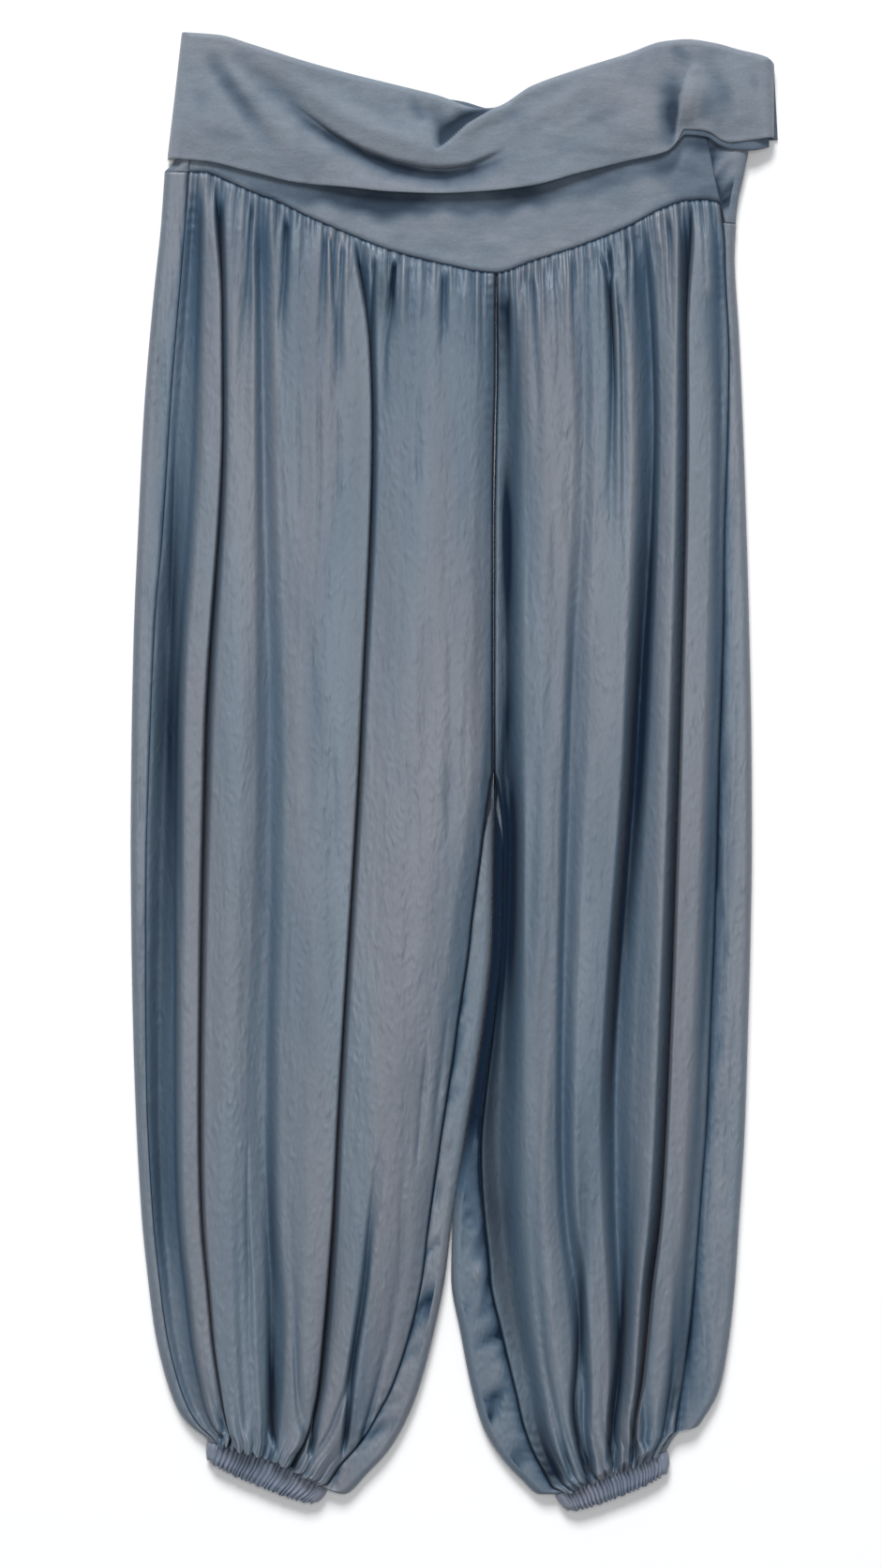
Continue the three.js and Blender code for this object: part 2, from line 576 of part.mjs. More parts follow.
// On the back, rows 0 to 1 lie on the turned-down part and rows 1 to 2 below its hem.
const HEM_CLEAR = 1.2;
function backRow(down) {
  const above = (x) => topEdge(x) - FOLD_INSET + backPeek(x);
  const hem = (x) => backHem(x) - HEM_CLEAR;
  if (down <= 1) return (x) => lerp(above(x), hem(x), down);
  return (x) => lerp(hem(x), backSeam(x), down - 1);
}

// Where a row meets a side whose x depends on the height up the garment.
function sidePoint(rowY, sideX) {
  let y = rowY(sideX(430));
  for (let k = 0; k < 8; k += 1) y = rowY(sideX(y));
  return { x: sideX(y), y };
}

function bandFront() {
  const steps = 40;
  const outer = BAND_ROWS.map((down) => {
    const rowY = frontRow(down);
    const left = sidePoint(rowY, (y) => bandSide.leftSeam(y) + SEAM_GAP);
    const right = sidePoint(rowY, (y) => bandSide.rightSeam(y) - SEAM_GAP);
    return Array.from({ length: steps + 1 }, (_, i) => {
      const t = i / steps;
      const x = lerp(left.x, right.x, t);
      return { t, x, y: rowY(x), z: BAND_EDGE };
    });
  });
  const inner = outer.map((row) => underside(row, JERSEY, JERSEY));
  return solid('band_front', wallFaces(outer, inner), BAND_COLOUR, 0.9);
}

const BACK_BAND_ROWS = [0, 0.5, 1, 1.3, 1.65, 2];
function bandBack() {
  const outer = [];
  const inner = [];
  BACK_BAND_ROWS.forEach((down) => {
    const rowY = backRow(down);
    const left = sidePoint(rowY, bandSide.leftX);
    const right = sidePoint(rowY, bandSide.rightX);
    const leftSeam = sidePoint(rowY, bandSide.leftSeam);
    const rightSeam = sidePoint(rowY, bandSide.rightSeam);
    const width = right.x - left.x;
    const lift = down <= 1 ? JERSEY + SEAM_GAP : 0;
    const section = backSection({
      width,
      leftStrip: leftSeam.x - left.x,
      rightStrip: right.x - rightSeam.x,
      leftTurn: 1,
      rightTurn: 1,
      height: BAND_EDGE - lift,
      place: (share) => {
        const x = lerp(left.x, right.x, share);
        return { x, y: rowY(x) };
      },
      floor: down > 1.5 ? YOKE_SEAM.map(({ x }) => (x - left.x) / width) : evenShares(12),
      lift: () => lift,
    }, JERSEY);
    outer.push(section.outer);
    inner.push(section.inner);
  });
  return solid('band_back', wallFaces(outer, inner), BAND_COLOUR, 0.9);
}

// Distance from a point to a fold's path, and the side of the path it lies on.
function fromPath(path, x, y) {
  let best = { distance: Infinity, above: true, along: 0 };
  for (let i = 0; i < path.length - 1; i += 1) {
    const [ax, ay] = path[i];
    const [bx, by] = path[i + 1];
    const share = clamp(
      ((x - ax) * (bx - ax) + (y - ay) * (by - ay)) / ((bx - ax) ** 2 + (by - ay) ** 2), 0, 1,
    );
    const distance = Math.hypot(x - lerp(ax, bx, share), y - lerp(ay, by, share));
    if (distance < best.distance) {
      const above = (bx - ax) * (y - ay) - (by - ay) * (x - ax) > 0;
      best = { distance, above, along: (i + share) / (path.length - 1) };
    }
  }
  return best;
}

const FLAP_ROLL = 9; // how far in from its sides the flap rounds over
const FLAP_RIM = JERSEY * 2 + SEAM_GAP; // height of the flap's rolled rim
const FOLD_ROLL = 5; // how far below the top fold the flap rounds over

function flapHeight(x, y, fromSide, fromTop) {
  const sunk = FLAP_FOLDS.reduce((sum, fold) => {
    const { distance, above, along } = fromPath(fold.path, x, y);
    const fade = 0.45 + 0.55 * Math.sin(Math.PI * along);
    return sum + fold.depth * fade * bell(distance, above ? fold.above : fold.below);
  }, 0);
  const full = Math.max(FLAP_REST + FLAP_SWELL - sunk, FLAP_REST);
  const round = (distance, reach) => Math.sqrt(1 - (1 - clamp(distance / reach, 0, 1)) ** 2);
  const atSide = lerp(FLAP_RIM, full, round(fromSide, FLAP_ROLL));
  return Math.min(atSide, lerp(BAND_EDGE, full, round(fromTop, FOLD_ROLL)));
}

const FLAP_STEPS = 42;
const FLAP_ROWS = [0, 0.02, 0.05, 0.12, 0.22, 0.32, 0.42, 0.52, 0.62, 0.72, 0.82, 0.91, 1];
const FLAP_SIDE_STEPS = [0, 0.004, 0.012, 0.025]; // finer steps where the sides round over

function flapPlace(t, share) {
  const top = lerp(TOP_EDGE[0].x, TOP_EDGE.at(-1).x, t);
  const hem = lerp(FLAP_HEM[0].x, FLAP_HEM.at(-1).x, t);
  return { x: lerp(top, hem, share), y: lerp(topEdge(top), flapHem(hem), share) };
}

function flapFront() {
  const even = Array.from({ length: FLAP_STEPS - 1 }, (_, i) => (i + 1) / FLAP_STEPS);
  const inside = even.filter((t) => t > 0.035 && t < 0.965);
  const columns = [...FLAP_SIDE_STEPS, ...inside, ...FLAP_SIDE_STEPS.map((t) => 1 - t).reverse()];
  const width = TOP_EDGE.at(-1).x - TOP_EDGE[0].x;
  const outer = FLAP_ROWS.map((share) => columns.map((t) => {
    const place = flapPlace(t, share);
    const fromSide = Math.min(t, 1 - t) * width;
    const fromTop = flapPlace(t, 0).y - place.y;
    return { t, ...place, z: flapHeight(place.x, place.y, fromSide, fromTop) };
  }));
  const inner = outer.map((row) => underside(row, JERSEY, JERSEY + SEAM_GAP));
  return solid('flap_front', wallFaces(outer, inner), BAND_COLOUR, 0.9);
}

// The second layer of the doubled flap, whose lip comes out below it at the right.
const LIP = table('x y', [
  [152, 428], [157, 433], [171, 431.6], [180.6, 425.6], [189.6, 422.7], [201.7, 422.4], [214, 425],
]);
const LIP_TOP = 444;
function flapFrontUnder() {
  const lip = curveOf(LIP, 'x', 'y');
  const rest = BAND_EDGE + SEAM_GAP + JERSEY;
  const steps = 16;
  const outer = [0, 0.5, 1].map((share) => Array.from({ length: steps + 1 }, (_, i) => {
    const t = i / steps;
    const x = lerp(LIP[0].x, LIP.at(-1).x, t);
    const roll = step(201, 214, x) * 3;
    return { t, x, y: lerp(LIP_TOP, lip(x), share), z: rest - roll };
  }));
  const inner = outer.map((row) => underside(row, JERSEY, JERSEY));
  return solid('flap_front_under', wallFaces(outer, inner), BAND_COLOUR, 0.9);
}

function flapBack() {
  const right = 220.6; // it shows beyond the front flap at the right
  const steps = 30;
  const fromFold = 0.5;
  const rowAt = (share, z) => Array.from({ length: steps + 1 }, (_, i) => {
    const t = i / steps;
    const top = lerp(TOP_EDGE[0].x, TOP_EDGE.at(-1).x, t);
    const hem = lerp(BACK_HEM[0].x, right, t);
    const topY = topEdge(top) - fromFold + backPeek(top);
    return { t, x: lerp(top, hem, share), y: lerp(topY, backHem(hem), share), z };
  });
  const shares = [0, 0.33, 0.67, 1];
  const outer = shares.map((share) => rowAt(share, JERSEY));
  const inner = shares.map((share) => rowAt(share, 0));
  return solid('flap_back', wallFaces(outer, inner), BAND_COLOUR, 0.9);
}

// Cuffs

// Rings of a cuff: how far down it each lies, from 0 to 1, its insets at the ends and its height.
const CUFF_RINGS = table('down leftInset rightInset height', [
  [0, 0.3, 0.3, 9.6],
  [0.3, 0.6, 0.4, CUFF_HEIGHT],
  [0.75, 2.2, 2, CUFF_HEIGHT],
  [1, 4.5, 5, 8.8],
]);
const CUFF_END_STEPS = 6;
const CUFF_FLOOR_STEPS = 4;
const CORNER_ROUNDING = 0.28; // share of its length that a cuff loses towards its ends

function cuff(name, leg) {
  const { leftX, leftY, rightX, rightY } = leg.edges;
  const { depth, bow } = leg.cuffForm;
  const start = new THREE.Vector2(leftX(LAST_SECTION), leftY(LAST_SECTION));
  const along = new THREE.Vector2(rightX(LAST_SECTION), rightY(LAST_SECTION)).sub(start);
  const length = along.length();
  along.normalize();
  const down = new THREE.Vector2(along.y, -along.x);
  const ring = (row, thickness) => {
    const radius = row.height / 2 - thickness;
    const low = row.leftInset + thickness + radius;
    const high = length - row.rightInset - thickness - radius;
    const points = [];
    const ribParts = CUFF_RIBS * 2;
    for (let k = 0; k <= ribParts; k += 1) {
      const rise = thickness === 0 && k % 2 === 1 ? RIB_RISE : 0;
      points.push({ a: lerp(high, low, k / ribParts), z: row.height - thickness + rise });
    }
    const addEnd = (a, side) => {
      for (let k = 1; k < CUFF_END_STEPS; k += 1) {
        const angle = (Math.PI * k) / CUFF_END_STEPS;
        const z = row.height / 2 - side * radius * Math.cos(angle);
        points.push({ a: a + side * radius * Math.sin(angle), z });
      }
    };
    addEnd(low, -1);
    for (let k = 0; k <= CUFF_FLOOR_STEPS; k += 1) {
      points.push({ a: lerp(low, high, k / CUFF_FLOOR_STEPS), z: thickness });
    }
    addEnd(high, 1);
    return points.map(({ a, z }) => {
      const share = clamp(a / length, 0, 1);
      const rounding = 1 - CORNER_ROUNDING * Math.abs(2 * share - 1) ** 3;
      const rise = bow * Math.sin(Math.PI * share) * (1 - row.down);
      const fall = SEAM_GAP + depth * row.down * rounding - rise;
      return { x: start.x + along.x * a + down.x * fall, y: start.y + along.y * a + down.y * fall, z };
    });
  };
  const outer = CUFF_RINGS.map((row) => ring(row, 0));
  const inner = CUFF_RINGS.map((row) => ring(row, CLOTH));
  return solid(name, tubeFaces(outer, inner), CUFF_COLOUR, 0.75);
}

const haremPants = new THREE.Group();
haremPants.name = 'harem_pants';
haremPants.add(
  bandFront(),
  bandBack(),
  flapFront(),
  flapFrontUnder(),
  flapBack(),
  legFront('leg_left_front', LEFT_LEG, 1),
  legBack('leg_left_back', LEFT_LEG),
  legFront('leg_right_front', RIGHT_LEG, 5),
  legBack('leg_right_back', RIGHT_LEG),
  cuff('cuff_left', LEFT_LEG),
  cuff('cuff_right', RIGHT_LEG),
);

export default haremPants;
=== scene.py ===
import math
from functools import partial

import bpy
import numpy as np
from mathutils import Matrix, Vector


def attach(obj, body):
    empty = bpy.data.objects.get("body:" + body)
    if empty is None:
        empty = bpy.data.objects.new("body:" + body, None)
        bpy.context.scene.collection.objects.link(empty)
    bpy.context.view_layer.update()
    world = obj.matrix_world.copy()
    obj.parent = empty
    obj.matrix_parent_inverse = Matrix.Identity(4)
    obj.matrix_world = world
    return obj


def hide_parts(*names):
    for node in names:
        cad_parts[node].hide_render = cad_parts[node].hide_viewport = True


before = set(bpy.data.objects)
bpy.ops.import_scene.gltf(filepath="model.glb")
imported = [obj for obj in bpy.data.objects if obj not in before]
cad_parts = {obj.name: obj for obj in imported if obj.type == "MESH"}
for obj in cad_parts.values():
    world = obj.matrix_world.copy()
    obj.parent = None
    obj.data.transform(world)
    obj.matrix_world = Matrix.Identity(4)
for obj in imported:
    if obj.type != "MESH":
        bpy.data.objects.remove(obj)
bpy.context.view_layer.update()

# The garment lies flat, front up, and the camera looks straight down on it.
# Tables and lengths here are in millimetres in the frame's axes; meshes are made in metres.
MM = 0.001

SEAM_GAP = 0.3
LEG_EDGE = 11.0
BAND_EDGE = 11.0
CUFF_HEIGHT = 10.4
JERSEY = 1.8
SHELL = 0.9  # thickness of the cloth as seen at its edges
LOWEST_FOLD = 3.4


# Small helpers


def ease(u):
    return u * u * (3 - 2 * u)


def step(low, high, value):
    return ease(np.clip((value - low) / (high - low), 0, 1))


def lerp(a, b, share):
    return a + (b - a) * share


def bell(distance, width):
    return np.exp(-((distance / width) ** 2))


def uneven(index, salt):
    wave = np.sin(index * 12.9898 + salt * 78.233) * 43758.5453
    return wave - np.floor(wave)


def table(names, rows):
    keys = names.split()
    return [dict(zip(keys, row)) for row in rows]


def curve(xs, ys):
    """A smooth curve through points, with no overshoot between them."""
    xs = np.asarray(xs, float)
    ys = np.asarray(ys, float)
    slopes = np.diff(ys) / np.diff(xs)
    tangents = np.empty_like(ys)
    tangents[0] = slopes[0]
    tangents[-1] = slopes[-1]
    product = slopes[:-1] * slopes[1:]
    total = np.where(product > 0, slopes[:-1] + slopes[1:], 1)
    tangents[1:-1] = np.where(product > 0, 2 * product / total, 0)

    def at(x):
        x = np.asarray(x, float)
        i = np.clip(np.searchsorted(xs, x, side="right") - 1, 0, len(xs) - 2)
        width = xs[i + 1] - xs[i]
        u = np.clip((x - xs[i]) / width, 0, 1)
        rise = ease(u) * (ys[i + 1] - ys[i])
        leave = u * (1 - u) ** 2 * width * tangents[i]
        arrive = u * u * (1 - u) * width * tangents[i + 1]
        return ys[i] + rise + leave - arrive

    return at


def curve_of(rows, x, y):
    return curve([row[x] for row in rows], [row[y] for row in rows])


def box_of(x, y):
    return x.min(), y.min(), x.max(), y.max()


def runs(*stretches):
    """Evenly spaced values over stretches that meet, each given by its start, end and count."""
    parts = [np.linspace(*stretch) for stretch in stretches]
    return np.concatenate([parts[0]] + [part[1:] for part in parts[1:]])


def shell_skins(x, y, z, thickness, lowest=None):
    """A skin and the one under it, straight below by the thickness."""
    under = z - thickness if lowest is None else np.maximum(z - thickness, lowest)
    return np.stack([x, y, z], axis=-1), np.stack([x, y, under], axis=-1)


def blurred(values, reach, axis):
    """Values averaged with a soft window of that many samples on each side."""
    weights = np.exp(-((np.arange(-reach, reach + 1) / (reach * 0.5)) ** 2))
    weights /= weights.sum()
    padding = [(0, 0)] * values.ndim
    padding[axis] = (reach, reach)
    padded = np.pad(values, padding, mode="edge")
    total = np.zeros_like(values)
    length = values.shape[axis]
    for k, weight in enumerate(weights):
        total += weight * np.take(padded, np.arange(k, k + length), axis=axis)
    return total


# Edges of the waistband, from left to right

TOP_EDGE = table("x y", [
    [-186, 503], [-160, 501], [-138, 494.7], [-106, 484.5], [-74, 475.5], [-43, 467.8], [-14, 460.8],
    [5, 456.3], [26, 452], [53, 466.6], [85, 478], [117, 488], [142, 496.6], [158, 498], [177, 495.4],
    [193, 491], [212, 486], [218, 481],
])
FLAP_HEM = table("x y", [
    [-195.7, 416.6], [-170, 414.7], [-138, 407.4], [-106, 400], [-74, 396.8], [-43, 393.6],
    [-11, 392.6], [21, 394], [53, 397.8], [85, 406.4], [117, 414.7], [145, 421.8], [152, 429],
    [156, 436.5], [168, 435.8], [174, 434], [181, 429.4], [187, 427.5], [199, 428.8], [218, 431.4],
])
YOKE_SEAM = table("x y", [
    [-181, 408.3], [-170, 407.7], [-153, 401.3], [-134, 393], [-120, 387.8], [-99, 377.6],
    [-74, 366.7], [-43, 354.6], [-11, 346.2], [28.3, 339.5], [53, 347.5], [85, 357.8],
    [117, 370.6], [142, 383.4], [158, 388.5], [171, 389], [181, 386.6],
])
BACK_HEM = table("x y", [
    [-195.7, 419.6], [-138, 411], [-43, 398], [21, 397], [85, 409], [145, 424], [187, 430], [221, 431],
])
top_edge = curve_of(TOP_EDGE, "x", "y")
flap_hem = curve_of(FLAP_HEM, "x", "y")
yoke_seam = curve_of(YOKE_SEAM, "x", "y")
back_hem = curve_of(BACK_HEM, "x", "y")
BACK_YOKE_DROP = 14.0
YOKE_POINT = 28.3
YOKE_RIGHT = 193.0


def back_seam(x):
    return yoke_seam(x) - BACK_YOKE_DROP * np.clip((x - YOKE_POINT) / (YOKE_RIGHT - YOKE_POINT), 0, 1)


# Sections of each leg, from the yoke seam to the cuff. A strip is how far the back panel comes
# round the edge to the seam with the front panel.
SECTION_COLUMNS = "leftY leftX leftStrip rightY rightX rightStrip"
LEFT_SECTIONS = table(SECTION_COLUMNS, [
    [408.0, -197.6, 17, 339.2, 28.0, 0],
    [373, -200, 17, 315, 28, 0],
    [322, -205.3, 18, 271, 28, 0],
    [245, -211.7, 18, 226, 27, 0],
    [168, -215.5, 17, 162, 26.2, 0],
    [92, -218.7, 14, 92, 26.2, 0],
    [15, -220.2, 12.5, 15, 26.2, 0],
    [-49, -220.7, 11, -49, 25.7, 6.5],
    [-113, -220.2, 10, -113, 24.8, 13.7],
    [-177, -219, 9, -177, 18.4, 16.5],
    [-241, -216.8, 8, -241, 8.4, 16],
    [-305, -213, 8, -305, -1.8, 15],
    [-344, -209, 8, -344, -6.5, 15],
    [-382, -204, 8, -382, -14, 16],
    [-420, -194.4, 8, -420, -24.2, 18.5],
    [-436, -187.4, 8, -441, -32.5, 21],
    [-445, -180.4, 7.5, -462, -44.7, 21],
    [-450.6, -173.3, 7, -477.4, -58.8, 19],
    [-453, -170, 6.5, -492, -74.8, 14],
    [-455.7, -168.2, 6.5, -489, -86.3, 8],
])
RIGHT_SECTIONS = table(SECTION_COLUMNS, [
    [339.2, 28.6, 0, 386.3, 193, 12.4],
    [312, 28.6, 0, 351, 191, 7],
    [271, 28.8, 0, 296, 194, 7.5],
    [226, 28, 0, 235.5, 196.6, 10.5],
    [162, 27, 0, 165, 199, 15],
    [92, 27, 0, 92, 201, 18],
    [15, 27, 0, 15, 202.4, 22],
    [-49, 26.3, 6.5, -49, 202.7, 24],
    [-113, 25.4, 6.5, -113, 201.7, 25],
    [-177, 19, 6.5, -177, 200, 26],
    [-241, 9, 9, -241, 197.9, 26.5],
    [-305, -1.2, 21, -305, 194, 27.5],
    [-344, -2.4, 26, -344, 191.5, 28],
    [-382, 4, 27.5, -382, 187.6, 28],
    [-420, 11.6, 29, -420, 180.6, 26],
    [-446, 19.3, 27, -438.4, 171, 20],
    [-466.6, 31.5, 22, -446, 165, 15],
    [-482, 45.6, 16, -448, 155.6, 8],
    [-492, 57.7, 11, -453, 149.9, 6.5],
    [-492, 68, 8, -461.4, 144.8, 6.5],
])
LAST_SECTION = len(LEFT_SECTIONS) - 1
CROTCH = (6, 7)

# Lines along each front panel: where each lies across the panel at seven stations, and its height
# at five of them. The last column is how far the cloth leans over there, to the right where it is
# positive.
STATIONS = {"waist": 0, "hip": 3, "thigh": 6, "knee": 10, "shin": 13, "ankle": 16.5, "cuff": LAST_SECTION}
HEIGHT_STATIONS = [0, 1.2, 3, 6, 10, 13, 16.5, 18, LAST_SECTION]
LINE_COLUMNS = "line waist hip thigh knee shin ankle cuff zHip zThigh zKnee zShin zAnkle lean"
LEFT_LINES = table(LINE_COLUMNS, [
    ["side_seam", 0, 0, 0, 0, 0, 0, 0, 11, 11, 11, 11, 11, 0],
    ["side_hollow", 0.02, 0.03, 0.045, 0.038, 0.035, 0.035, 0.03, 8, 6, 6, 8, 9, 0],
    ["side_flat", 0.034, 0.066, 0.074, 0.086, 0.088, 0.068, 0.05, 10, 9.5, 9.5, 10, 11, 0],
    ["side_crest", 0.055, 0.105, 0.106, 0.12, 0.122, 0.095, 0.06, 16, 18.5, 17.5, 16.5, 15, 0],
    ["side_brink", 0.08, 0.138, 0.137, 0.147, 0.152, 0.12, 0.082, 17, 18, 17, 16, 15, 4.0],
    ["deep_fold_floor", 0.092, 0.152, 0.153, 0.163, 0.168, 0.135, 0.1, 9, 4.4, 5, 6, 8, 0],
    ["deep_fold_lip", 0.118, 0.184, 0.189, 0.195, 0.2, 0.166, 0.13, 17, 19, 18.5, 18, 17, 0],
    ["outer_plateau", 0.16, 0.21, 0.26, 0.28, 0.28, 0.25, 0.22, 18, 21, 20, 19, 18, 0],
    ["valley_brink", 0.2, 0.25, 0.3, 0.32, 0.35, 0.35, 0.38, 17, 19, 18, 17, 17, 1.5],
    ["valley_floor", 0.233, 0.285, 0.35, 0.395, 0.445, 0.44, 0.47, 13, 15, 13.6, 12, 12, 0],
    ["valley_rise", 0.28, 0.33, 0.4, 0.45, 0.5, 0.5, 0.53, 17, 19, 19, 18, 17, 0],
    ["middle_plateau", 0.42, 0.48, 0.52, 0.55, 0.57, 0.58, 0.62, 19, 21, 21, 20, 19, 0],
    ["sharp_fold_lip", 0.53, 0.596, 0.586, 0.612, 0.608, 0.615, 0.66, 18, 20, 20, 18, 17, 4.6],
    ["sharp_fold_floor", 0.548, 0.61, 0.6, 0.63, 0.632, 0.645, 0.69, 9, 6, 6, 6, 6, 0],
    ["sharp_fold_rise", 0.6, 0.645, 0.63, 0.665, 0.675, 0.7, 0.75, 16, 18, 17.5, 16, 15, 0],
    ["inner_plateau", 0.72, 0.78, 0.78, 0.79, 0.8, 0.82, 0.85, 19, 21, 20, 18, 17, 0],
    ["inner_fall", 0.9, 0.93, 0.93, 0.91, 0.9, 0.92, 0.93, 17, 18, 17, 15, 14, 0],
    ["inner_brink", 0.965, 0.965, 0.965, 0.955, 0.955, 0.965, 0.965, 15, 15, 15, 13, 12.5, 0],
    ["inner_seam", 1, 1, 1, 1, 1, 1, 1, 11, 11, 11, 11, 11, 0],
])
RIGHT_LINES = table(LINE_COLUMNS, [
    ["inner_seam", 0, 0, 0, 0, 0, 0, 0, 9, 8, 8, 10, 11, 0],
    ["centre_fold_floor", 0.03, 0.04, 0.05, 0.08, 0.08, 0.06, 0.05, 9, 5.5, 5.5, 9, 10, 0],
    ["centre_fold_rise", 0.08, 0.125, 0.14, 0.2, 0.2, 0.17, 0.13, 16, 18, 18, 17, 16, 0],
    ["inner_plateau", 0.2, 0.22, 0.22, 0.27, 0.28, 0.25, 0.2, 19, 20, 20, 19, 18, 0],
    ["middle_brink", 0.32, 0.33, 0.29, 0.32, 0.36, 0.31, 0.26, 18, 19, 18, 17, 17, 0],
    ["middle_floor", 0.36, 0.38, 0.34, 0.36, 0.42, 0.36, 0.3, 16, 15, 14, 12.5, 11, 0],
    ["middle_rise", 0.4, 0.43, 0.42, 0.42, 0.48, 0.42, 0.37, 18, 19, 19, 18, 17, 0],
    ["wide_fold_brink", 0.56, 0.58, 0.56, 0.52, 0.565, 0.5, 0.46, 18, 19, 18, 16, 16, 0],
    ["wide_fold_floor", 0.647, 0.678, 0.635, 0.597, 0.633, 0.56, 0.52, 9, 7, 7, 7, 9, 0],
    ["wide_fold_shelf", 0.69, 0.712, 0.69, 0.67, 0.672, 0.61, 0.58, 15, 14, 13, 14, 15, 0],
    ["outer_crest", 0.8, 0.77, 0.765, 0.76, 0.72, 0.67, 0.65, 18, 19, 19, 19, 17, 0],
    ["sharp_fold_floor", 0.86, 0.84, 0.84, 0.835, 0.79, 0.745, 0.725, 7, 4, 4, 6, 8, 0],
    ["sharp_fold_lip", 0.88, 0.857, 0.86, 0.86, 0.825, 0.77, 0.76, 18, 19.5, 19.5, 18.5, 17, -4],
    ["outer_plateau", 0.93, 0.92, 0.92, 0.905, 0.88, 0.84, 0.83, 18, 19, 19, 18, 17, 0],
    ["side_hollow", 0.975, 0.975, 0.975, 0.97, 0.965, 0.95, 0.95, 12, 13, 13, 12, 11, 0],
    ["side_seam", 1, 1, 1, 1, 1, 1, 1, 11, 11, 11, 11, 11, 0],
])

# Short pleats of the solids: place across, start and end below the yoke seam.
PLEAT_COLUMNS = "across start end depth width"
LEFT_PLEATS = table(PLEAT_COLUMNS, [
    [0.21, 4, 120, 3.5, 4], [0.32, 4, 90, 3.5, 5], [0.45, 4, 110, 3, 5], [0.505, 4, 130, 3.5, 5],
    [0.605, 4, 90, 4, 4], [0.67, 4, 62, 5, 5], [0.83, 4, 70, 2.5, 6], [0.785, 600, 900, 5, 5],
    [0.335, 600, 900, 4, 5],
])
RIGHT_PLEATS = table(PLEAT_COLUMNS, [
    [0.15, 4, 90, 3.5, 5], [0.21, 4, 60, 2.5, 5], [0.34, 4, 60, 2, 5], [0.5, 4, 210, 4.5, 4],
    [0.58, 4, 90, 3, 5], [0.76, 4, 80, 3, 5],
])
PLEAT_STARTS = 12.0
LOW_PLEAT_STARTS = 150.0

# Finer creases, each along a path of points (x, y) from top to bottom, with its depth and how far
# it spreads to the left and to the right. A negative depth is a ridge.
CREASE_COLUMNS = "depth left right path"
LEFT_CREASES = table(CREASE_COLUMNS, [
    [1.3, 5, 3, [(-141, 340), (-142, 300), (-146, 200), (-147, 110), (-146, 40)]],
    [-0.4, 3, 5, [(-136, 350), (-137, 250), (-138.5, 150), (-139, 20)]],
    [1.9, 1.2, 2.0, [(-113.5, 376), (-115, 340), (-118, 306), (-119, 255)]],
    [1.9, 1.2, 2.2, [(-84, 366), (-82, 330), (-79, 290), (-78, 245)]],
    [0.7, 1.6, 2.4, [(-93, 280), (-92, 220), (-93, 140)]],
    [0.6, 1.6, 2.4, [(-107, 270), (-106, 215), (-107, 165)]],
    [0.8, 1.4, 2.4, [(-79, 252), (-78, 215), (-79, 170)]],
    [1.5, 1.2, 2.0, [(-66, 350), (-62, 300), (-58, 250), (-57, 205)]],
    [2.2, 2.6, 1.2, [(-39, 352), (-44, 310), (-47.5, 280), (-49, 225)]],
    [1.2, 3.0, 3.4, [(-30, 345), (-30, 300), (-31.5, 240)]],
    [1.7, 1.4, 2.6, [(-6, 350), (-7.5, 310), (-8, 240)]],
    [1.0, 1.4, 2.0, [(-19, 350), (-20, 320), (-23, 280)]],
    [0.6, 1.8, 3.0, [(-24, 272), (-25, 230), (-24, 175)]],
    [1.0, 6.0, 6.0, [(-100, 130), (-98, 40), (-99, -60)]],
    [1.2, 7.0, 5.0, [(-84, 60), (-82, -60), (-80, -180)]],
    [0.9, 6.0, 6.0, [(-20, 150), (-18, 60), (-19, -40)]],
    [1.1, 5.0, 6.0, [(-30, 40), (-28, -50), (-33, -150)]],
    [0.9, 4.0, 5.0, [(-4, 110), (-3, 20), (-5, -70)]],
    [1.3, 2.5, 2.5, [(-18, -179), (-22, -225), (-27, -275)]],
    [1.2, 2.5, 2.5, [(-3, -150), (-9, -200), (-16, -260)]],
    [3.6, 3.0, 3.0, [(-148, -200), (-146, -330), (-145, -380), (-141, -455)]],
    [5.0, 2.0, 2.4, [(-40, -190), (-58, -320), (-69, -400), (-73, -440), (-77, -470)]],
    [3.0, 2.0, 2.4, [(-114, -250), (-109, -360), (-106, -440), (-105, -460)]],
    [3.0, 2.0, 2.4, [(-30, -280), (-42, -370), (-56, -430), (-66, -464)]],
    [6.0, 1.8, 3.0, [(-79, -260), (-86, -370), (-91, -417), (-96, -440), (-99, -470)]],
    [5.4, 2.0, 2.0, [(-130, -220), (-125, -370), (-124.6, -433), (-121, -464)]],
    [4.4, 1.8, 2.2, [(-170, -320), (-163, -425), (-159, -458)]],
    [1.2, 2.0, 3.0, [(-190, 250), (-192, 160), (-194, 60)]],
    [1.0, 2.0, 2.0, [(-186, 40), (-186, -60), (-184, -160)]],
])
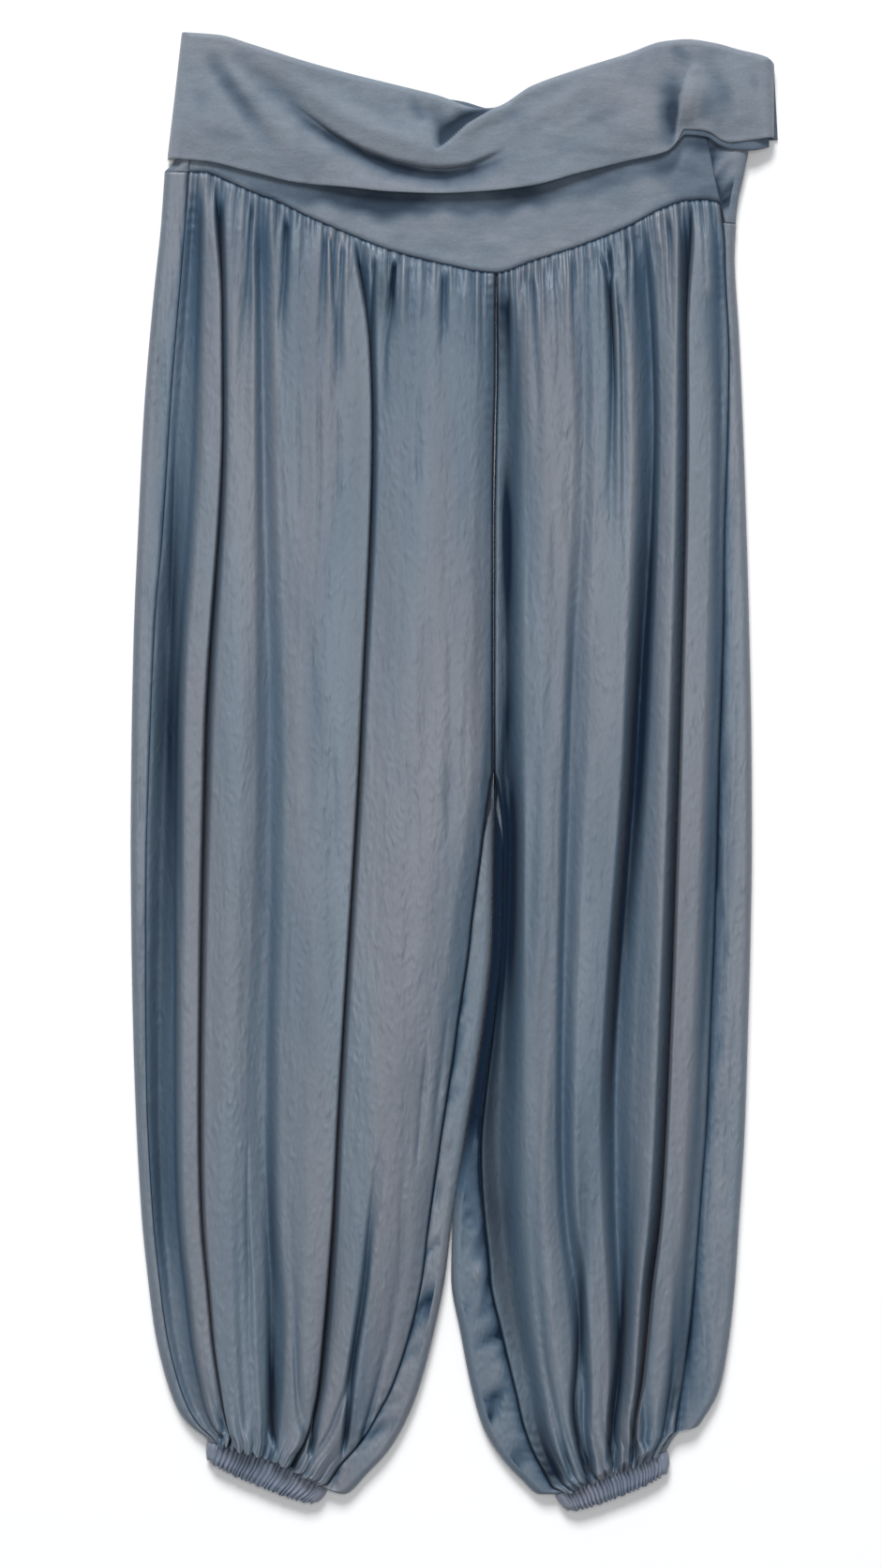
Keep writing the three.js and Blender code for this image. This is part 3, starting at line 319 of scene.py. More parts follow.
RIGHT_CREASES = table(CREASE_COLUMNS, [
    [1.6, 2.4, 3.4, [(47, 345), (44, 300), (42, 240), (38, 180)]],
    [1.2, 1.4, 2.0, [(53.5, 335), (55, 290), (56.5, 240), (57, 180)]],
    [1.4, 1.4, 2.0, [(62, 350), (63, 320), (64, 280)]],
    [1.1, 1.6, 2.0, [(68, 352), (70, 310), (73, 245)]],
    [0.9, 2.0, 2.4, [(90, 350), (91, 310), (92, 265)]],
    [2.4, 2.2, 1.2, [(98, 356), (104, 336), (107, 300), (108.4, 250), (107.6, 180), (104, 120)]],
    [-1.2, 1.8, 1.8, [(107, 340), (110.5, 300), (111.2, 240), (111, 170)]],
    [1.8, 1.2, 2.0, [(111, 325), (113.5, 290), (114.4, 240), (115, 180), (119, 110)]],
    [1.2, 3.0, 3.0, [(138, 360), (141, 320), (145, 280), (146, 240)]],
    [1.0, 1.6, 2.4, [(124, 366), (124.5, 340), (124, 300)]],
    [1.6, 4.0, 6.0, [(174, 330), (178, 240), (180, 120)]],
    [1.0, 6.0, 6.0, [(70, 180), (66, 90), (64, 0)]],
    [1.2, 6.0, 6.0, [(96, 150), (90, 60), (86, -40)]],
    [1.0, 5.0, 5.0, [(56, 40), (53, -60), (50, -160)]],
    [1.2, 6.0, 5.0, [(66, -80), (60, -170), (56, -260)]],
    [6.0, 2.2, 2.4, [(88, -210), (85.5, -369), (81.5, -433), (84, -456), (93, -490)]],
    [4.6, 2.0, 2.4, [(119, -240), (115, -370), (108, -427), (104, -474)]],
    [4.0, 2.4, 2.4, [(52, -280), (60, -390), (72, -450), (82, -488)]],
    [5.0, 1.8, 2.2, [(137, -260), (133, -370), (125, -433), (118, -474)]],
    [3.4, 1.8, 2.2, [(128, -300), (133, -380), (132, -440), (130, -464)]],
    [3.4, 1.8, 2.4, [(152, -280), (150, -380), (145, -435), (140, -458)]],
    [1.0, 3.0, 3.0, [(150, 60), (149, -40), (146, -140)]],
])

# Broad soft darkness where the cloth turns away from the light: its strength, and how far it
# spreads to the left and to the right of its path.
SHADE_COLUMNS = "depth left right path"
LEFT_SHADES = table(SHADE_COLUMNS, [
    [0.36, 13, 10, [(-182, 316), (-189, 245), (-192.5, 130), (-195, 0), (-200, -130), (-202.7, -209),
                   (-200, -300), (-196, -370), (-184, -425)]],
    [0.3, 4, 6, [(27, 160), (25, 60), (20, -30), (17, -90)]],
    [0.6, 4, 4, [(-122, -120), (-124, -369), (-124, -433), (-121, -462)]],
    [0.6, 3, 4, [(-48, -220), (-65, -369), (-74, -462)]],
    [0.6, 3, 6, [(-78, -220), (-86, -369), (-92, -417), (-99, -468)]],
    [0.3, 5, 9, [(-50, 352), (-47, 290), (-44, 240)]],
])
RIGHT_SHADES = table(SHADE_COLUMNS, [
    [0.9, 13, 14, [(30, 90), (31, -40), (26, -120), (21, -180), (21, -241), (27, -305), (36, -369),
                   (48, -425)]],
    [0.7, 4, 5, [(34, 240), (35, 130), (35, 60), (32, -30)]],
    [0.8, 9, 9, [(27, -280), (39, -369), (51, -433), (72, -488)]],
    [0.48, 14, 6, [(138, 317), (136, 250), (133, 130), (127, 20), (121, -60), (112, -130), (104, -209),
                   (95, -300), (87, -380)]],
    [0.2, 3, 4, [(184, 280), (182, 130), (178, 0), (173, -90), (166, -209), (158, -330)]],
    [0.8, 3, 4, [(88, -150), (85.5, -369), (81.5, -433), (93, -488)]],
    [0.6, 3, 4, [(118, -160), (115, -369), (107, -436), (104, -478)]],
    [0.6, 3, 4, [(138, -200), (133, -369), (124, -433), (116, -474)]],
    [0.5, 4, 5, [(162, -200), (157, -369), (148, -440)]],
    [0.4, 4, 7, [(32, 330), (33, 260), (34, 190), (34, 80)]],
])

# Folds on the turned-down part of the waistband, with how far each spreads above and below its
# path, and how far the cloth above it leans over it.
FOLD_COLUMNS = "depth above below lean path"
FLAP_FOLDS = table(FOLD_COLUMNS, [
    [6.8, 3.0, 7.0, 4.6, [(-116, 456), (-96.6, 442.4), (-81.6, 432.8), (-61, 422.8), (-40.6, 415.6),
                          (-20, 411.3), (-6, 410.5), (9.7, 412.2), (24, 417), (37, 422.5)]],
    [4.8, 10, 9, 0, [(-160, 496), (-140, 476), (-120, 461), (-100, 446), (-80, 433), (-62, 424)]],
    [4.0, 5, 11, 0, [(-84, 426), (-60, 415), (-34, 408), (-6, 405), (16, 408), (34, 415)]],
    [-4.5, 9, 8, 0, [(-104, 462), (-80, 446), (-52, 434), (-26, 425), (-8, 423), (6, 428)]],
    [3.6, 7, 8, 0, [(-173, 496), (-160, 476), (-146, 456), (-132, 436), (-114, 412)]],
    [-1.4, 6, 6, 0, [(-160, 486), (-142, 462), (-124, 440), (-106, 420)]],
    [1.6, 8, 8, 0, [(-184, 486), (-176, 462), (-166, 438)]],
    [7.5, 8, 1.0, 0, [(-14, 421), (-6, 428), (8, 440.5), (24, 449.5), (38, 458)]],
    [2.2, 7, 6, 0, [(-18, 454), (-12, 446), (-8, 437), (-6, 430)]],
    [1.2, 5, 5, 0, [(-31, 458), (-25, 448), (-22, 438)]],
    [-3.0, 6, 7, 0, [(36, 456), (24, 446), (10, 436), (0, 426)]],
    [-2.2, 12, 12, 0, [(44, 440), (80, 458), (120, 474)]],
    [1.8, 7, 7, 0, [(16, 444), (40, 448), (66, 460), (92, 470)]],
    [1.6, 8, 8, 0, [(28, 424), (56, 436), (90, 456), (110, 462)]],
    [1.2, 7, 7, 0, [(60, 420), (90, 436), (118, 456)]],
    [-5.0, 7, 8, 0, [(161, 472), (159, 460), (158, 448), (158, 438)]],
    [5.0, 1.4, 13, 0, [(160, 480), (154, 467), (151.5, 456), (150.5, 445), (149, 434), (147, 418)]],
    [1.6, 6, 6, 0, [(148, 493), (155, 484), (162, 475)]],
    [1.4, 8, 8, 0, [(163, 492), (172, 478), (183, 460), (188, 440)]],
    [-1.6, 7, 7, 0, [(186, 486), (196, 462), (200, 440)]],
    [1.2, 8, 8, 0, [(200, 480), (206, 460), (210, 440)]],
    [0.8, 6, 6, 0, [(-186, 440), (-160, 432), (-130, 424)]],
    [0.8, 6, 6, 0, [(-120, 480), (-90, 468), (-60, 456)]],
])

# Broad soft painted shade on it: its strength, and how far it spreads above and below its path.
FLAP_SHADE_COLUMNS = "depth above below path"
FLAP_SHADES = table(FLAP_SHADE_COLUMNS, [
    [0.7, 2.0, 9, [(-108, 446), (-81, 430), (-61, 419.5), (-40, 412), (-20, 407.5), (-6, 406.5), (9.7, 408),
                   (27, 413), (44, 421)]],
    [0.22, 9, 9, [(-176, 494), (-160, 477), (-142, 461), (-120, 446), (-96, 432)]],
    [0.3, 9, 8, [(-26, 456), (-16, 444), (-6, 434), (4, 430)]],
    [0.5, 7, 1.0, [(-10, 424), (-6, 428), (8, 440.5), (24, 449.5), (34, 455)]],
    [0.2, 1.2, 12, [(158, 476), (154, 467), (151.5, 456), (150.5, 445), (149, 434), (147, 418)]],
    [0.1, 5, 5, [(148, 494), (156, 485), (164, 476)]],
    [0.08, 6, 6, [(166, 488), (180, 470), (190, 440)]],
    [0.12, 5, 5, [(-29, 457), (-25, 449), (-22, 440)]],
])


# Meshes made of rows of points


def grid_faces(rows, columns, wrap, flip, start=0):
    """Quads of a grid. They face up where rows run down the garment and columns to the right."""
    count = columns if wrap else columns - 1
    r, c = np.meshgrid(np.arange(rows - 1), np.arange(count), indexing="ij")
    here = start + r * columns + c
    right = start + r * columns + (c + 1) % columns
    faces = np.stack([here, here + columns, right + columns, right], axis=-1).reshape(-1, 4)
    return faces[:, ::-1] if flip else faces


def make_mesh(name, points, faces, attributes):
    mesh = bpy.data.meshes.new(name)
    mesh.vertices.add(len(points))
    mesh.vertices.foreach_set("co", (np.asarray(points) * MM).astype(np.float32).ravel())
    mesh.loops.add(faces.size)
    mesh.loops.foreach_set("vertex_index", faces.astype(np.int32).ravel())
    mesh.polygons.add(len(faces))
    mesh.polygons.foreach_set("loop_start", np.arange(0, faces.size, 4, dtype=np.int32))
    mesh.polygons.foreach_set("use_smooth", np.ones(len(faces), bool))
    mesh.update(calc_edges=True)
    for key, values in attributes.items():
        layer = mesh.attributes.new(key, "FLOAT", "POINT")
        layer.data.foreach_set("value", np.asarray(values, np.float32).ravel())
    mesh.validate()
    piece = bpy.data.objects.new(name, mesh)
    bpy.context.scene.collection.objects.link(piece)
    return piece


def rimmed(grid, drop, inset):
    """A grid with its edge turned down by "drop" and a little inwards."""
    padded = np.pad(grid, ((2, 2), (2, 2), (0, 0)), mode="edge")
    rows, columns = padded.shape[:2]
    centre = grid.mean(axis=(0, 1))
    ring = np.zeros((rows, columns))
    ring[1:-1, 1:-1] = 1
    ring[2:-2, 2:-2] = 2
    padded[..., 2] -= np.where(ring == 0, drop, np.where(ring == 1, drop * 0.3, 0))
    shift = np.where(ring == 0, inset, 0)
    away = centre[:2] - padded[..., :2]
    length = np.maximum(np.hypot(away[..., 0], away[..., 1]), 1)
    padded[..., :2] += away / length[..., None] * shift[..., None]
    return padded


def padded_values(values):
    return np.pad(values, 2, mode="edge")


def sheet_piece(name, grid, values):
    """One skin of cloth with its edges turned down."""
    full = rimmed(grid, SHELL + 1.2, -0.35)
    faces = grid_faces(full.shape[0], full.shape[1], False, False)
    fields = {key: padded_values(field) for key, field in values.items()}
    return make_mesh(name, full.reshape(-1, 3), faces, fields)


def shell_piece(name, outer, inner, values, wrap=False, flip=False):
    """A closed shell between two skins of the same number of points."""
    rows, columns = outer.shape[:2]
    count = rows * columns
    first = np.arange(columns)
    last = (rows - 1) * columns + np.arange(columns)
    parts = [grid_faces(rows, columns, wrap, flip), grid_faces(rows, columns, wrap, not flip, count)]

    def joined(line, turn):
        ahead = np.roll(line, -1)
        strip = np.stack([line, ahead, ahead + count, line + count], axis=-1)
        strip = strip if wrap else strip[:-1]
        return strip[:, ::-1] if turn else strip

    parts.append(joined(first, flip))
    parts.append(joined(last, not flip))
    if not wrap:
        side = np.arange(rows) * columns
        for line, turn in ((side, not flip), (side + columns - 1, flip)):
            strip = np.stack([line[:-1], line[1:], line[1:] + count, line[:-1] + count], axis=-1)
            parts.append(strip[:, ::-1] if turn else strip)
    points = np.concatenate([outer.reshape(-1, 3), inner.reshape(-1, 3)])
    fields = {key: np.concatenate([field.ravel(), field.ravel()]) for key, field in values.items()}
    return make_mesh(name, points, np.concatenate(parts), fields)


# Fields over a grid of points

# Creases that reach below or above these heights start at a cuff or at the yoke seam: they are
# deep and narrow there, and grow shallow and wide away from it.
CUFF_CREASES = -426.0
WAIST_CREASES = 318.0


def crease_field(creases, x, y):
    """How deep the creases are at points, each crease running down the garment."""
    total = np.zeros_like(x)
    for crease in creases:
        path = sorted(crease["path"], key=lambda point: point[1])
        centre = curve([p[1] for p in path], [p[0] for p in path])
        low, high = path[0][1], path[-1][1]
        along = np.clip((y - low) / (high - low), 0, 1)
        inside = (y > low) & (y < high)
        spread = 0.35 + 0.65 * np.sin(np.pi * along)
        if low < CUFF_CREASES:
            fade = (1 - along) ** 1.4 * step(0, 0.06, along)
            spread = 0.8 + 1.4 * along
        elif high > WAIST_CREASES:
            fade = 1.5 * along**1.2 * step(0, 0.06, 1 - along)
            spread = 0.9 + 1.3 * (1 - along)
        else:
            fade = np.minimum(np.sin(np.pi * along) * 1.4, 1) ** 1.6
        fade = np.where(inside, fade, 0) * (0.8 + 0.2 * np.sin(along * 9 + low))
        off = x - centre(y)
        width = np.where(off < 0, crease["left"], crease["right"]) * spread
        total += crease["depth"] * fade * bell(off, width)
    return total


# Fine wrinkles: how many, how long, how wide and how deep they are, and how they are tilted
WRINKLE_ROWS = table("place count salt lengths widths depth tilt spread", [
    ["long", 300, 0, (16, 90), (1.4, 4.0), 0.34, 0, 5],
    ["short", 520, 20, (4, 12), (0.8, 1.8), 0.4, 18, 40],
    ["slanted", 800, 60, (6, 20), (1.6, 5.0), 1.5, 35, 30],
    ["streaks", 500, 70, (30, 110), (0.8, 2.4), 0.5, 0, 4],
    ["floor", 70, 40, (30, 120), (3, 9), 1.5, 0, 8],
    ["yoke", 40, 61, (14, 40), (5, 11), 0.5, 70, 30],
    ["flap", 90, 81, (8, 26), (1.6, 4.0), 0.3, 60, 50],
    ["flap_back", 26, 101, (20, 60), (5, 10), 0.9, 60, 50],
])
WRINKLES = {row["place"]: row for row in WRINKLE_ROWS}


def wrinkle_field(place, x, y, box, leg_salt=0):
    """Fine uneven wrinkles, each a short soft groove at its own angle."""
    row = WRINKLES[place]
    salt = leg_salt + row["salt"]
    total = np.zeros_like(x)
    low_x, low_y, high_x, high_y = box
    for k in range(row["count"]):
        cx = lerp(low_x, high_x, uneven(k, salt))
        cy = lerp(low_y, high_y, uneven(k, salt + 1))
        length = lerp(*row["lengths"], uneven(k, salt + 2))
        width = lerp(*row["widths"], uneven(k, salt + 3))
        angle = math.radians(row["tilt"] + row["spread"] * (2 * uneven(k, salt + 4) - 1))
        near = (np.abs(y - cy) < length * 1.6 + 12) & (np.abs(x - cx) < length * 1.6 + 12)
        if not near.any():
            continue
        dx = x[near] - cx
        dy = y[near] - cy
        along = dx * math.sin(angle) + dy * math.cos(angle)
        across = dx * math.cos(angle) - dy * math.sin(angle)
        across += 0.002 * along**2 * (uneven(k, salt + 5) - 0.5) * 2
        sign = 1 if uneven(k, salt + 6) < 0.7 else -1
        own_depth = sign * row["depth"] * (0.4 + 0.6 * uneven(k, salt + 7))
        total[near] += own_depth * bell(along, length) * bell(across, width)
    return total


def from_path(path, x, y):
    """Distance from points to a path, whether they lie above it, how far along, and the way to it."""
    best = np.full(x.shape, 1e9)
    above = np.zeros(x.shape, bool)
    along = np.zeros(x.shape)
    toward = np.zeros(x.shape + (2,))
    count = len(path) - 1
    for i, ((ax, ay), (bx, by)) in enumerate(zip(path[:-1], path[1:])):
        share = ((x - ax) * (bx - ax) + (y - ay) * (by - ay)) / ((bx - ax) ** 2 + (by - ay) ** 2)
        share = np.clip(share, 0, 1)
        to_x = lerp(ax, bx, share) - x
        to_y = lerp(ay, by, share) - y
        distance = np.hypot(to_x, to_y)
        closer = distance < best
        best = np.where(closer, distance, best)
        above = np.where(closer, (bx - ax) * (y - ay) - (by - ay) * (x - ax) > 0, above)
        along = np.where(closer, (i + share) / count, along)
        toward[closer] = np.stack([to_x, to_y], axis=-1)[closer]
    toward /= np.maximum(best, 1e-6)[..., None]
    return best, above, along, toward


# Legs


class Leg:
    def __init__(self, sections, lines, pleats, creases, shades, cuff_depth, cuff_bow, is_left, salt):
        numbers = np.arange(len(sections))
        self.edges = {key: curve(numbers, [row[key] for row in sections]) for key in sections[0]}
        stations = list(STATIONS.values())
        self.places = [curve(stations, [line[key] for key in STATIONS]) for line in lines]
        self.heights = [curve(HEIGHT_STATIONS, [
            LEG_EDGE - 0.4, line["zHip"], line["zHip"], line["zThigh"], line["zKnee"], line["zShin"],
            line["zAnkle"], line["zAnkle"], CUFF_HEIGHT,
        ]) for line in lines]
        self.leans = [line["lean"] for line in lines]
        self.pleats = pleats
        self.creases = creases
        self.shades = shades
        self.cuff_depth = cuff_depth
        self.cuff_bow = cuff_bow
        self.is_left = is_left
        self.salt = salt


LEFT_LEG = Leg(LEFT_SECTIONS, LEFT_LINES, LEFT_PLEATS, LEFT_CREASES, LEFT_SHADES, 14.5, 6.5, True, 1)
RIGHT_LEG = Leg(RIGHT_SECTIONS, RIGHT_LINES, RIGHT_PLEATS, RIGHT_CREASES, RIGHT_SHADES, 17.0, 0.0, False, 5)

BACK_RIGHT_START = 0.4
SEAM_BEND_ENDS = 4.0
PUFF_OVER = 3.6
PUFF_REACH = 9.0
BOW_ROWS = (15, LAST_SECTION)


def section_ends(leg, s, is_back):
    right_s = s
    if is_back and not leg.is_left:
        right_s = np.where(s < 1, lerp(BACK_RIGHT_START, 1, s), s)
    e = leg.edges
    left = (e["leftX"](s), e["leftY"](s), e["leftStrip"](s))
    right = (e["rightX"](right_s), e["rightY"](right_s), e["rightStrip"](right_s))
    return left, right


def section_place(leg, s, share, is_back=False):
    left, right = section_ends(leg, s, is_back)
    rise = leg.cuff_bow * np.sin(np.pi * np.clip(share, 0, 1)) * step(*BOW_ROWS, s)
    width = np.hypot(right[0] - left[0], right[1] - left[1])
    x = lerp(left[0], right[0], share) - rise * (right[1] - left[1]) / width
    y = lerp(left[1], right[1], share) + rise * (right[0] - left[0]) / width
    top_left, top_right = section_ends(leg, np.zeros(1), is_back)
    top_x = lerp(top_left[0], top_right[0], share)
    seam = (back_seam(top_x) if is_back else yoke_seam(top_x)) - SEAM_GAP
    bend = seam - lerp(top_left[1], top_right[1], share)
    fade = np.clip(1 - s / SEAM_BEND_ENDS, 0, 1) ** 1.5
    return x, y + bend * fade


def front_shares(leg, s):
    left, right = section_ends(leg, s, False)
    width = np.hypot(right[0] - left[0], right[1] - left[1])

    def inset(strip):
        return np.where(strip > 1, strip + SEAM_GAP, 0) / width

    return inset(left[2]), 1 - inset(right[2]), width


def fold_places(leg, rows, start, end):
    """Where the fold lines lie across the panel. Down to the shin they run straight, whatever the
    seams beside them do."""
    stations = np.array(list(STATIONS.values()), float)
    edges = leg.edges
    at_start, at_end, _ = front_shares(leg, stations)
    lines = []
    for place in leg.places:
        own = place(rows)
        share = lerp(at_start, at_end, place(stations))
        x = curve(stations, lerp(edges["leftX"](stations), edges["rightX"](stations), share))(rows)
        straight = (x - edges["leftX"](rows)) / (edges["rightX"](rows) - edges["leftX"](rows))
        straight = (straight - start) / (end - start)
        part = step(0.0, 0.12, own) * (1 - step(0.9, 1.0, own)) * (1 - step(11.5, 14, rows))
        lines.append(lerp(own, straight, part))
    across = np.concatenate(lines, axis=1)
    return np.maximum.accumulate(across + 1e-4 * np.arange(across.shape[1]), axis=1)


def gather_list(count, salt, rise, reach_low, reach_high):
    widths = 0.6 + 0.8 * uneven(np.arange(count), salt)
    ends = np.cumsum(widths) / widths.sum()
    starts = np.concatenate([[0], ends[:-1]])
    gathers = []
    for i in range(count):
        gathers.append({
            "start": starts[i],
            "end": ends[i],
            "peak": lerp(starts[i], ends[i], 0.35 + 0.3 * uneven(i, salt + 1)),
            "reach": lerp(reach_low, reach_high, uneven(i, salt + 2) ** 1.4),
            "rise": rise * (0.6 + 0.4 * uneven(i, salt + 3)),
        })
    return gathers


def gather_field(gathers, t, distance):
    """Rounded ridges with sharp troughs between them, which die out away from the seam."""
    total = np.zeros(np.broadcast(t, distance).shape)
    for gather in gathers:
        inside = (t > gather["start"]) & (t <= gather["end"])
        rising = (t - gather["start"]) / (gather["peak"] - gather["start"])
        falling = (gather["end"] - t) / (gather["end"] - gather["peak"])
        side = np.clip(np.minimum(rising, falling), 0, 1)
        ridge = np.sin(side * np.pi / 2) ** 0.85
        fade = np.exp(-((distance / gather["reach"]) ** 2))
        total += np.where(inside, gather["rise"] * ridge * fade, 0)
    return total


# Gathers of a front panel: how many, how high, and the shortest and longest way they reach
GATHERS = table("name seam count salt rise shortest longest", [
    ["waist", "yoke", 24, 0, 2.7, 12, 64],
    ["waist_fine", "yoke", 39, 3, 1.5, 7, 28],
    ["cuff", "cuff", 14, 10, 3.2, 12, 46],
    ["cuff_fine", "cuff", 25, 13, 1.5, 6, 20],
])


def gather_fields(leg, columns, distances):
    fields = {}
    for row in GATHERS:
        salt = leg.salt + row["salt"]
        gathers = gather_list(row["count"], salt, row["rise"], row["shortest"], row["longest"])
        fields[row["name"]] = gather_field(gathers, columns, distances[row["seam"]])
    return fields


def leg_front(leg):
    rows = runs((0, 1, 62), (1, 3, 54), (3, 15, 142), (15, LAST_SECTION, 62))[:, None]
    columns = np.linspace(0, 1, 300)[None, :]
    start, end, width = front_shares(leg, rows)
    share = lerp(start, end, columns)
    x, y = section_place(leg, rows, share)
    top_x, top_y = x[:1], y[:1]
    end_x, end_y = x[-1:], y[-1:]
    across = fold_places(leg, rows, start, end)
    levels = np.concatenate([height(rows) for height in leg.heights], axis=1)
    z = np.stack([curve(across[i], levels[i])(columns[0]) for i in range(len(rows))])
    below = top_y - y
    panel_width = width * (end - start)
    for pleat in leg.pleats:
        begins = PLEAT_STARTS if pleat["start"] < 50 else LOW_PLEAT_STARTS
        fade = step(pleat["start"], pleat["start"] + begins, below)
        gone = np.clip((below - pleat["start"]) / (pleat["end"] * 1.1 - pleat["start"]), 0, 1)
        taper = pleat["width"] * (0.3 + 0.6 * gone)
        z = z - 0.8 * pleat["depth"] * fade * (1 - gone) ** 1.3 * bell(
            (columns - pleat["across"]) * width, taper)
    body = step(0.1, 1.2, rows) * (1 - step(17.5, 18.8, rows))
    z = z - crease_field(leg.creases, x, y) * step(0.02, 0.5, rows)
    spacing = np.maximum(np.gradient(x, axis=1), 0.2)
    slope = np.abs(np.gradient(blurred(z, 3, 1), axis=1)) / spacing
    low = (blurred(z, 34, 1) - z) / 7.0
    box = box_of(x, y)
    long_ones = wrinkle_field("long", x, y, box, leg.salt)
    short_ones = wrinkle_field("short", x, y, box, leg.salt)
    z = z - body * (0.45 + 0.9 * np.clip(low + 0.3, 0, 1)) * long_ones
    z = z - body * (0.45 + 0.7 * np.clip(low + 0.3, 0, 1)) * short_ones
    above_cuff = np.hypot(end_x - x, end_y - y)
    fields = gather_fields(leg, columns, {"yoke": below, "cuff": above_cuff})
    for field in fields.values():
        z = z + field
    bulge = fields["cuff"]
    z = z - bell(below, 2.4) * 1.1
    # Painted shade along the yoke seam and the side and inner seams: a dark line where the cloth sinks into
    # them.
    painted_seam_shade = bell(below, 0.9)
    for t_edge, strength in ((0, 0.4 if leg.is_left else 1.0), (1, 1.0 if leg.is_left else 0.4)):
        from_edge = np.abs(columns - t_edge) * panel_width
        pucker = np.sin(y * 0.71 + 5 * np.sin(y * 0.053 + t_edge)) * np.sin(y * 0.037 + 2 * t_edge) ** 2
        z = z + 0.4 * pucker * bell(from_edge - 3, 4) * step(0.5, 2.5, from_edge)
        z = z - 1.6 * strength * bell(from_edge, 1.2)
        painted_seam_shade = painted_seam_shade + strength * bell(from_edge, 1.0)
    z = np.maximum(z, LOWEST_FOLD * 0.7)
    shift = np.zeros_like(z)
    for i, lean in enumerate(leg.leans):
        if lean:
            centre = across[:, i:i + 1]
            shift = shift + lean * bell((columns - centre) * panel_width, 4.2) * step(0.6, 2.0, rows)
    shift = shift * (1 - step(16, 18.5, rows))
    x = x + shift
    over_cuff = (PUFF_OVER * bulge / 3.0 - 0.6) * (1 - step(0, PUFF_REACH, above_cuff))
    down = np.stack([end_x - top_x, end_y - top_y], axis=-1)
    down = down / np.hypot(down[..., 0], down[..., 1])[..., None]
    x = x + down[..., 0] * over_cuff
    y = y + down[..., 1] * over_cuff
    grid = np.stack([x, y, z], axis=-1)
    # Painted shade: the colour is darkened in hollows and narrow grooves, on steep slopes, along the seams,
    # near the yoke seam and along the shade paths, and turns grey along those paths.
    narrow = np.clip((blurred(z, 6, 1) - z) / 1.6, -0.5, 1)
    shade = crease_field(leg.shades, x, y)
    valley = 0.14 + 0.42 * np.clip(low, -0.2, 1.2) + 0.24 * np.clip(slope / 0.9, 0, 1.2) + 0.4 * narrow
    valley = valley + shade + 0.7 * painted_seam_shade + 0.14 * bell(below, 120)
    return grid, {"valley": np.clip(valley, 0, 1.1), "grey": np.clip(shade * 1.6, 0, 1)}


# Back panels: flat on the surface, with edges that turn up and come over to the seams


FLOOR_STEPS = 56
ARC_STEPS = 14
TAIL_STEPS = 18


def turned_edge(height, strip, turn, thickness):
    """Points of turned edges, one row each, from the floor to the seam."""
    radius = height / 2
    bend = np.pi * turn
    tail = np.maximum(strip - radius, 0.6)
    reach = np.where(turn >= 0.5, radius, radius * np.sin(bend) + tail * np.cos(bend))
    r = radius - thickness
    angle = bend * np.linspace(0, 1, ARC_STEPS)[None, :]
    arc_q = -reach + r * np.sin(angle)
    arc_z = radius - r * np.cos(angle)
    along = tail * np.linspace(0, 1, TAIL_STEPS + 1)[None, 1:]
    tail_q = arc_q[:, -1:] + along * np.cos(bend)
    tail_z = arc_z[:, -1:] + along * np.sin(bend)
    return np.concatenate([arc_q, tail_q], axis=1), np.concatenate([arc_z, tail_z], axis=1)


def back_grids(shape):
    """Outer and inner skins of a back panel, each row from its right seam to its left seam."""
    skins = []
    width = shape["width"]
    for thickness in (0.0, SHELL):
        height = shape["height"]
        left_q, left_z = turned_edge(height, shape["leftStrip"], shape["leftTurn"], thickness)
        right_q, right_z = turned_edge(height, shape["rightStrip"], shape["rightTurn"], thickness)
        right_q = (width + right_q)[:, ::-1]
        right_z = right_z[:, ::-1]
        left_q = -left_q
        share = np.linspace(0, 1, FLOOR_STEPS + 2)[None, 1:-1]
        floor_q = lerp(right_q[:, -1:], left_q[:, :1], share)
        floor_z = np.full_like(floor_q, thickness)
        q = np.concatenate([right_q, floor_q, left_q], axis=1)
        z = np.concatenate([right_z, floor_z, left_z], axis=1)
        x, y = shape["place"](q / width)
        skins.append(np.stack([x, y, z + shape["lift"]], axis=-1))
    return skins


STRIP_COLUMNS = 18
LEGS_CLOSE = 0.22


def dress_strips(outer, inner, salt, hollow, slanted=(1, 1), fall=(0, 0)):
    """Puckers and soft hollows on the parts of a back panel that come over to the front, and painted shade
    on them.
    """
    values = np.zeros(outer.shape[:2])
    x, y = outer[..., 0], outer[..., 1]
    box = box_of(x, y)
    slant = wrinkle_field("slanted", x, y, box, salt)
    streaks = wrinkle_field("streaks", x, y, box, salt)
    for side, (part, order) in enumerate(((slice(0, STRIP_COLUMNS), 1), (slice(-STRIP_COLUMNS, None), -1))):
        share = np.linspace(1, 0, STRIP_COLUMNS)[::order][None, :]
        y = outer[:, part, 1]
        pucker = np.sin(y * 0.85 + 2.6 * np.sin(y * 0.13 + salt)) * np.sin(y * 0.21 + salt)
        soft = np.sin(y * 0.035 + salt) * 0.5 + np.sin(y * 0.081 + salt * 2) * 0.35
        change = 0.4 * pucker * share**2 - hollow * share**1.5 * (0.8 + 0.3 * soft)
        change = change - 0.5 * bell((1 - share) * 10, 1.2)
        lines = lerp(streaks[:, part], slant[:, part], slanted[side])
        change = change - lines * np.sin(np.pi * np.clip(share * 0.9, 0, 1)) ** 0.5
        change = change * step(3.0, 8.0, outer[:, part, 2])
        outer[:, part, 2] += change
        inner[:, part, 2] += change
        # Painted shade on the strips: darkest at the seam and in the wrinkles' grooves, and growing towards
        # the seam by fall.
        values[:, part] = 0.5 * share**6 + 0.25 * lines + fall[side] * share
    return values


def floor_creases(outer, inner, salt):
    """Soft creases in the side that lies on the surface: they rise from it."""
    x, y, z = np.moveaxis(outer, -1, 0)
    highest = WRINKLES["floor"]["depth"]
    rise = np.clip(wrinkle_field("floor", x, y, box_of(x, y), salt), 0, highest)
    rise = np.where(z < 0.01, rise, 0)
    outer[..., 2] += rise
    inner[..., 2] += rise
    return rise / highest


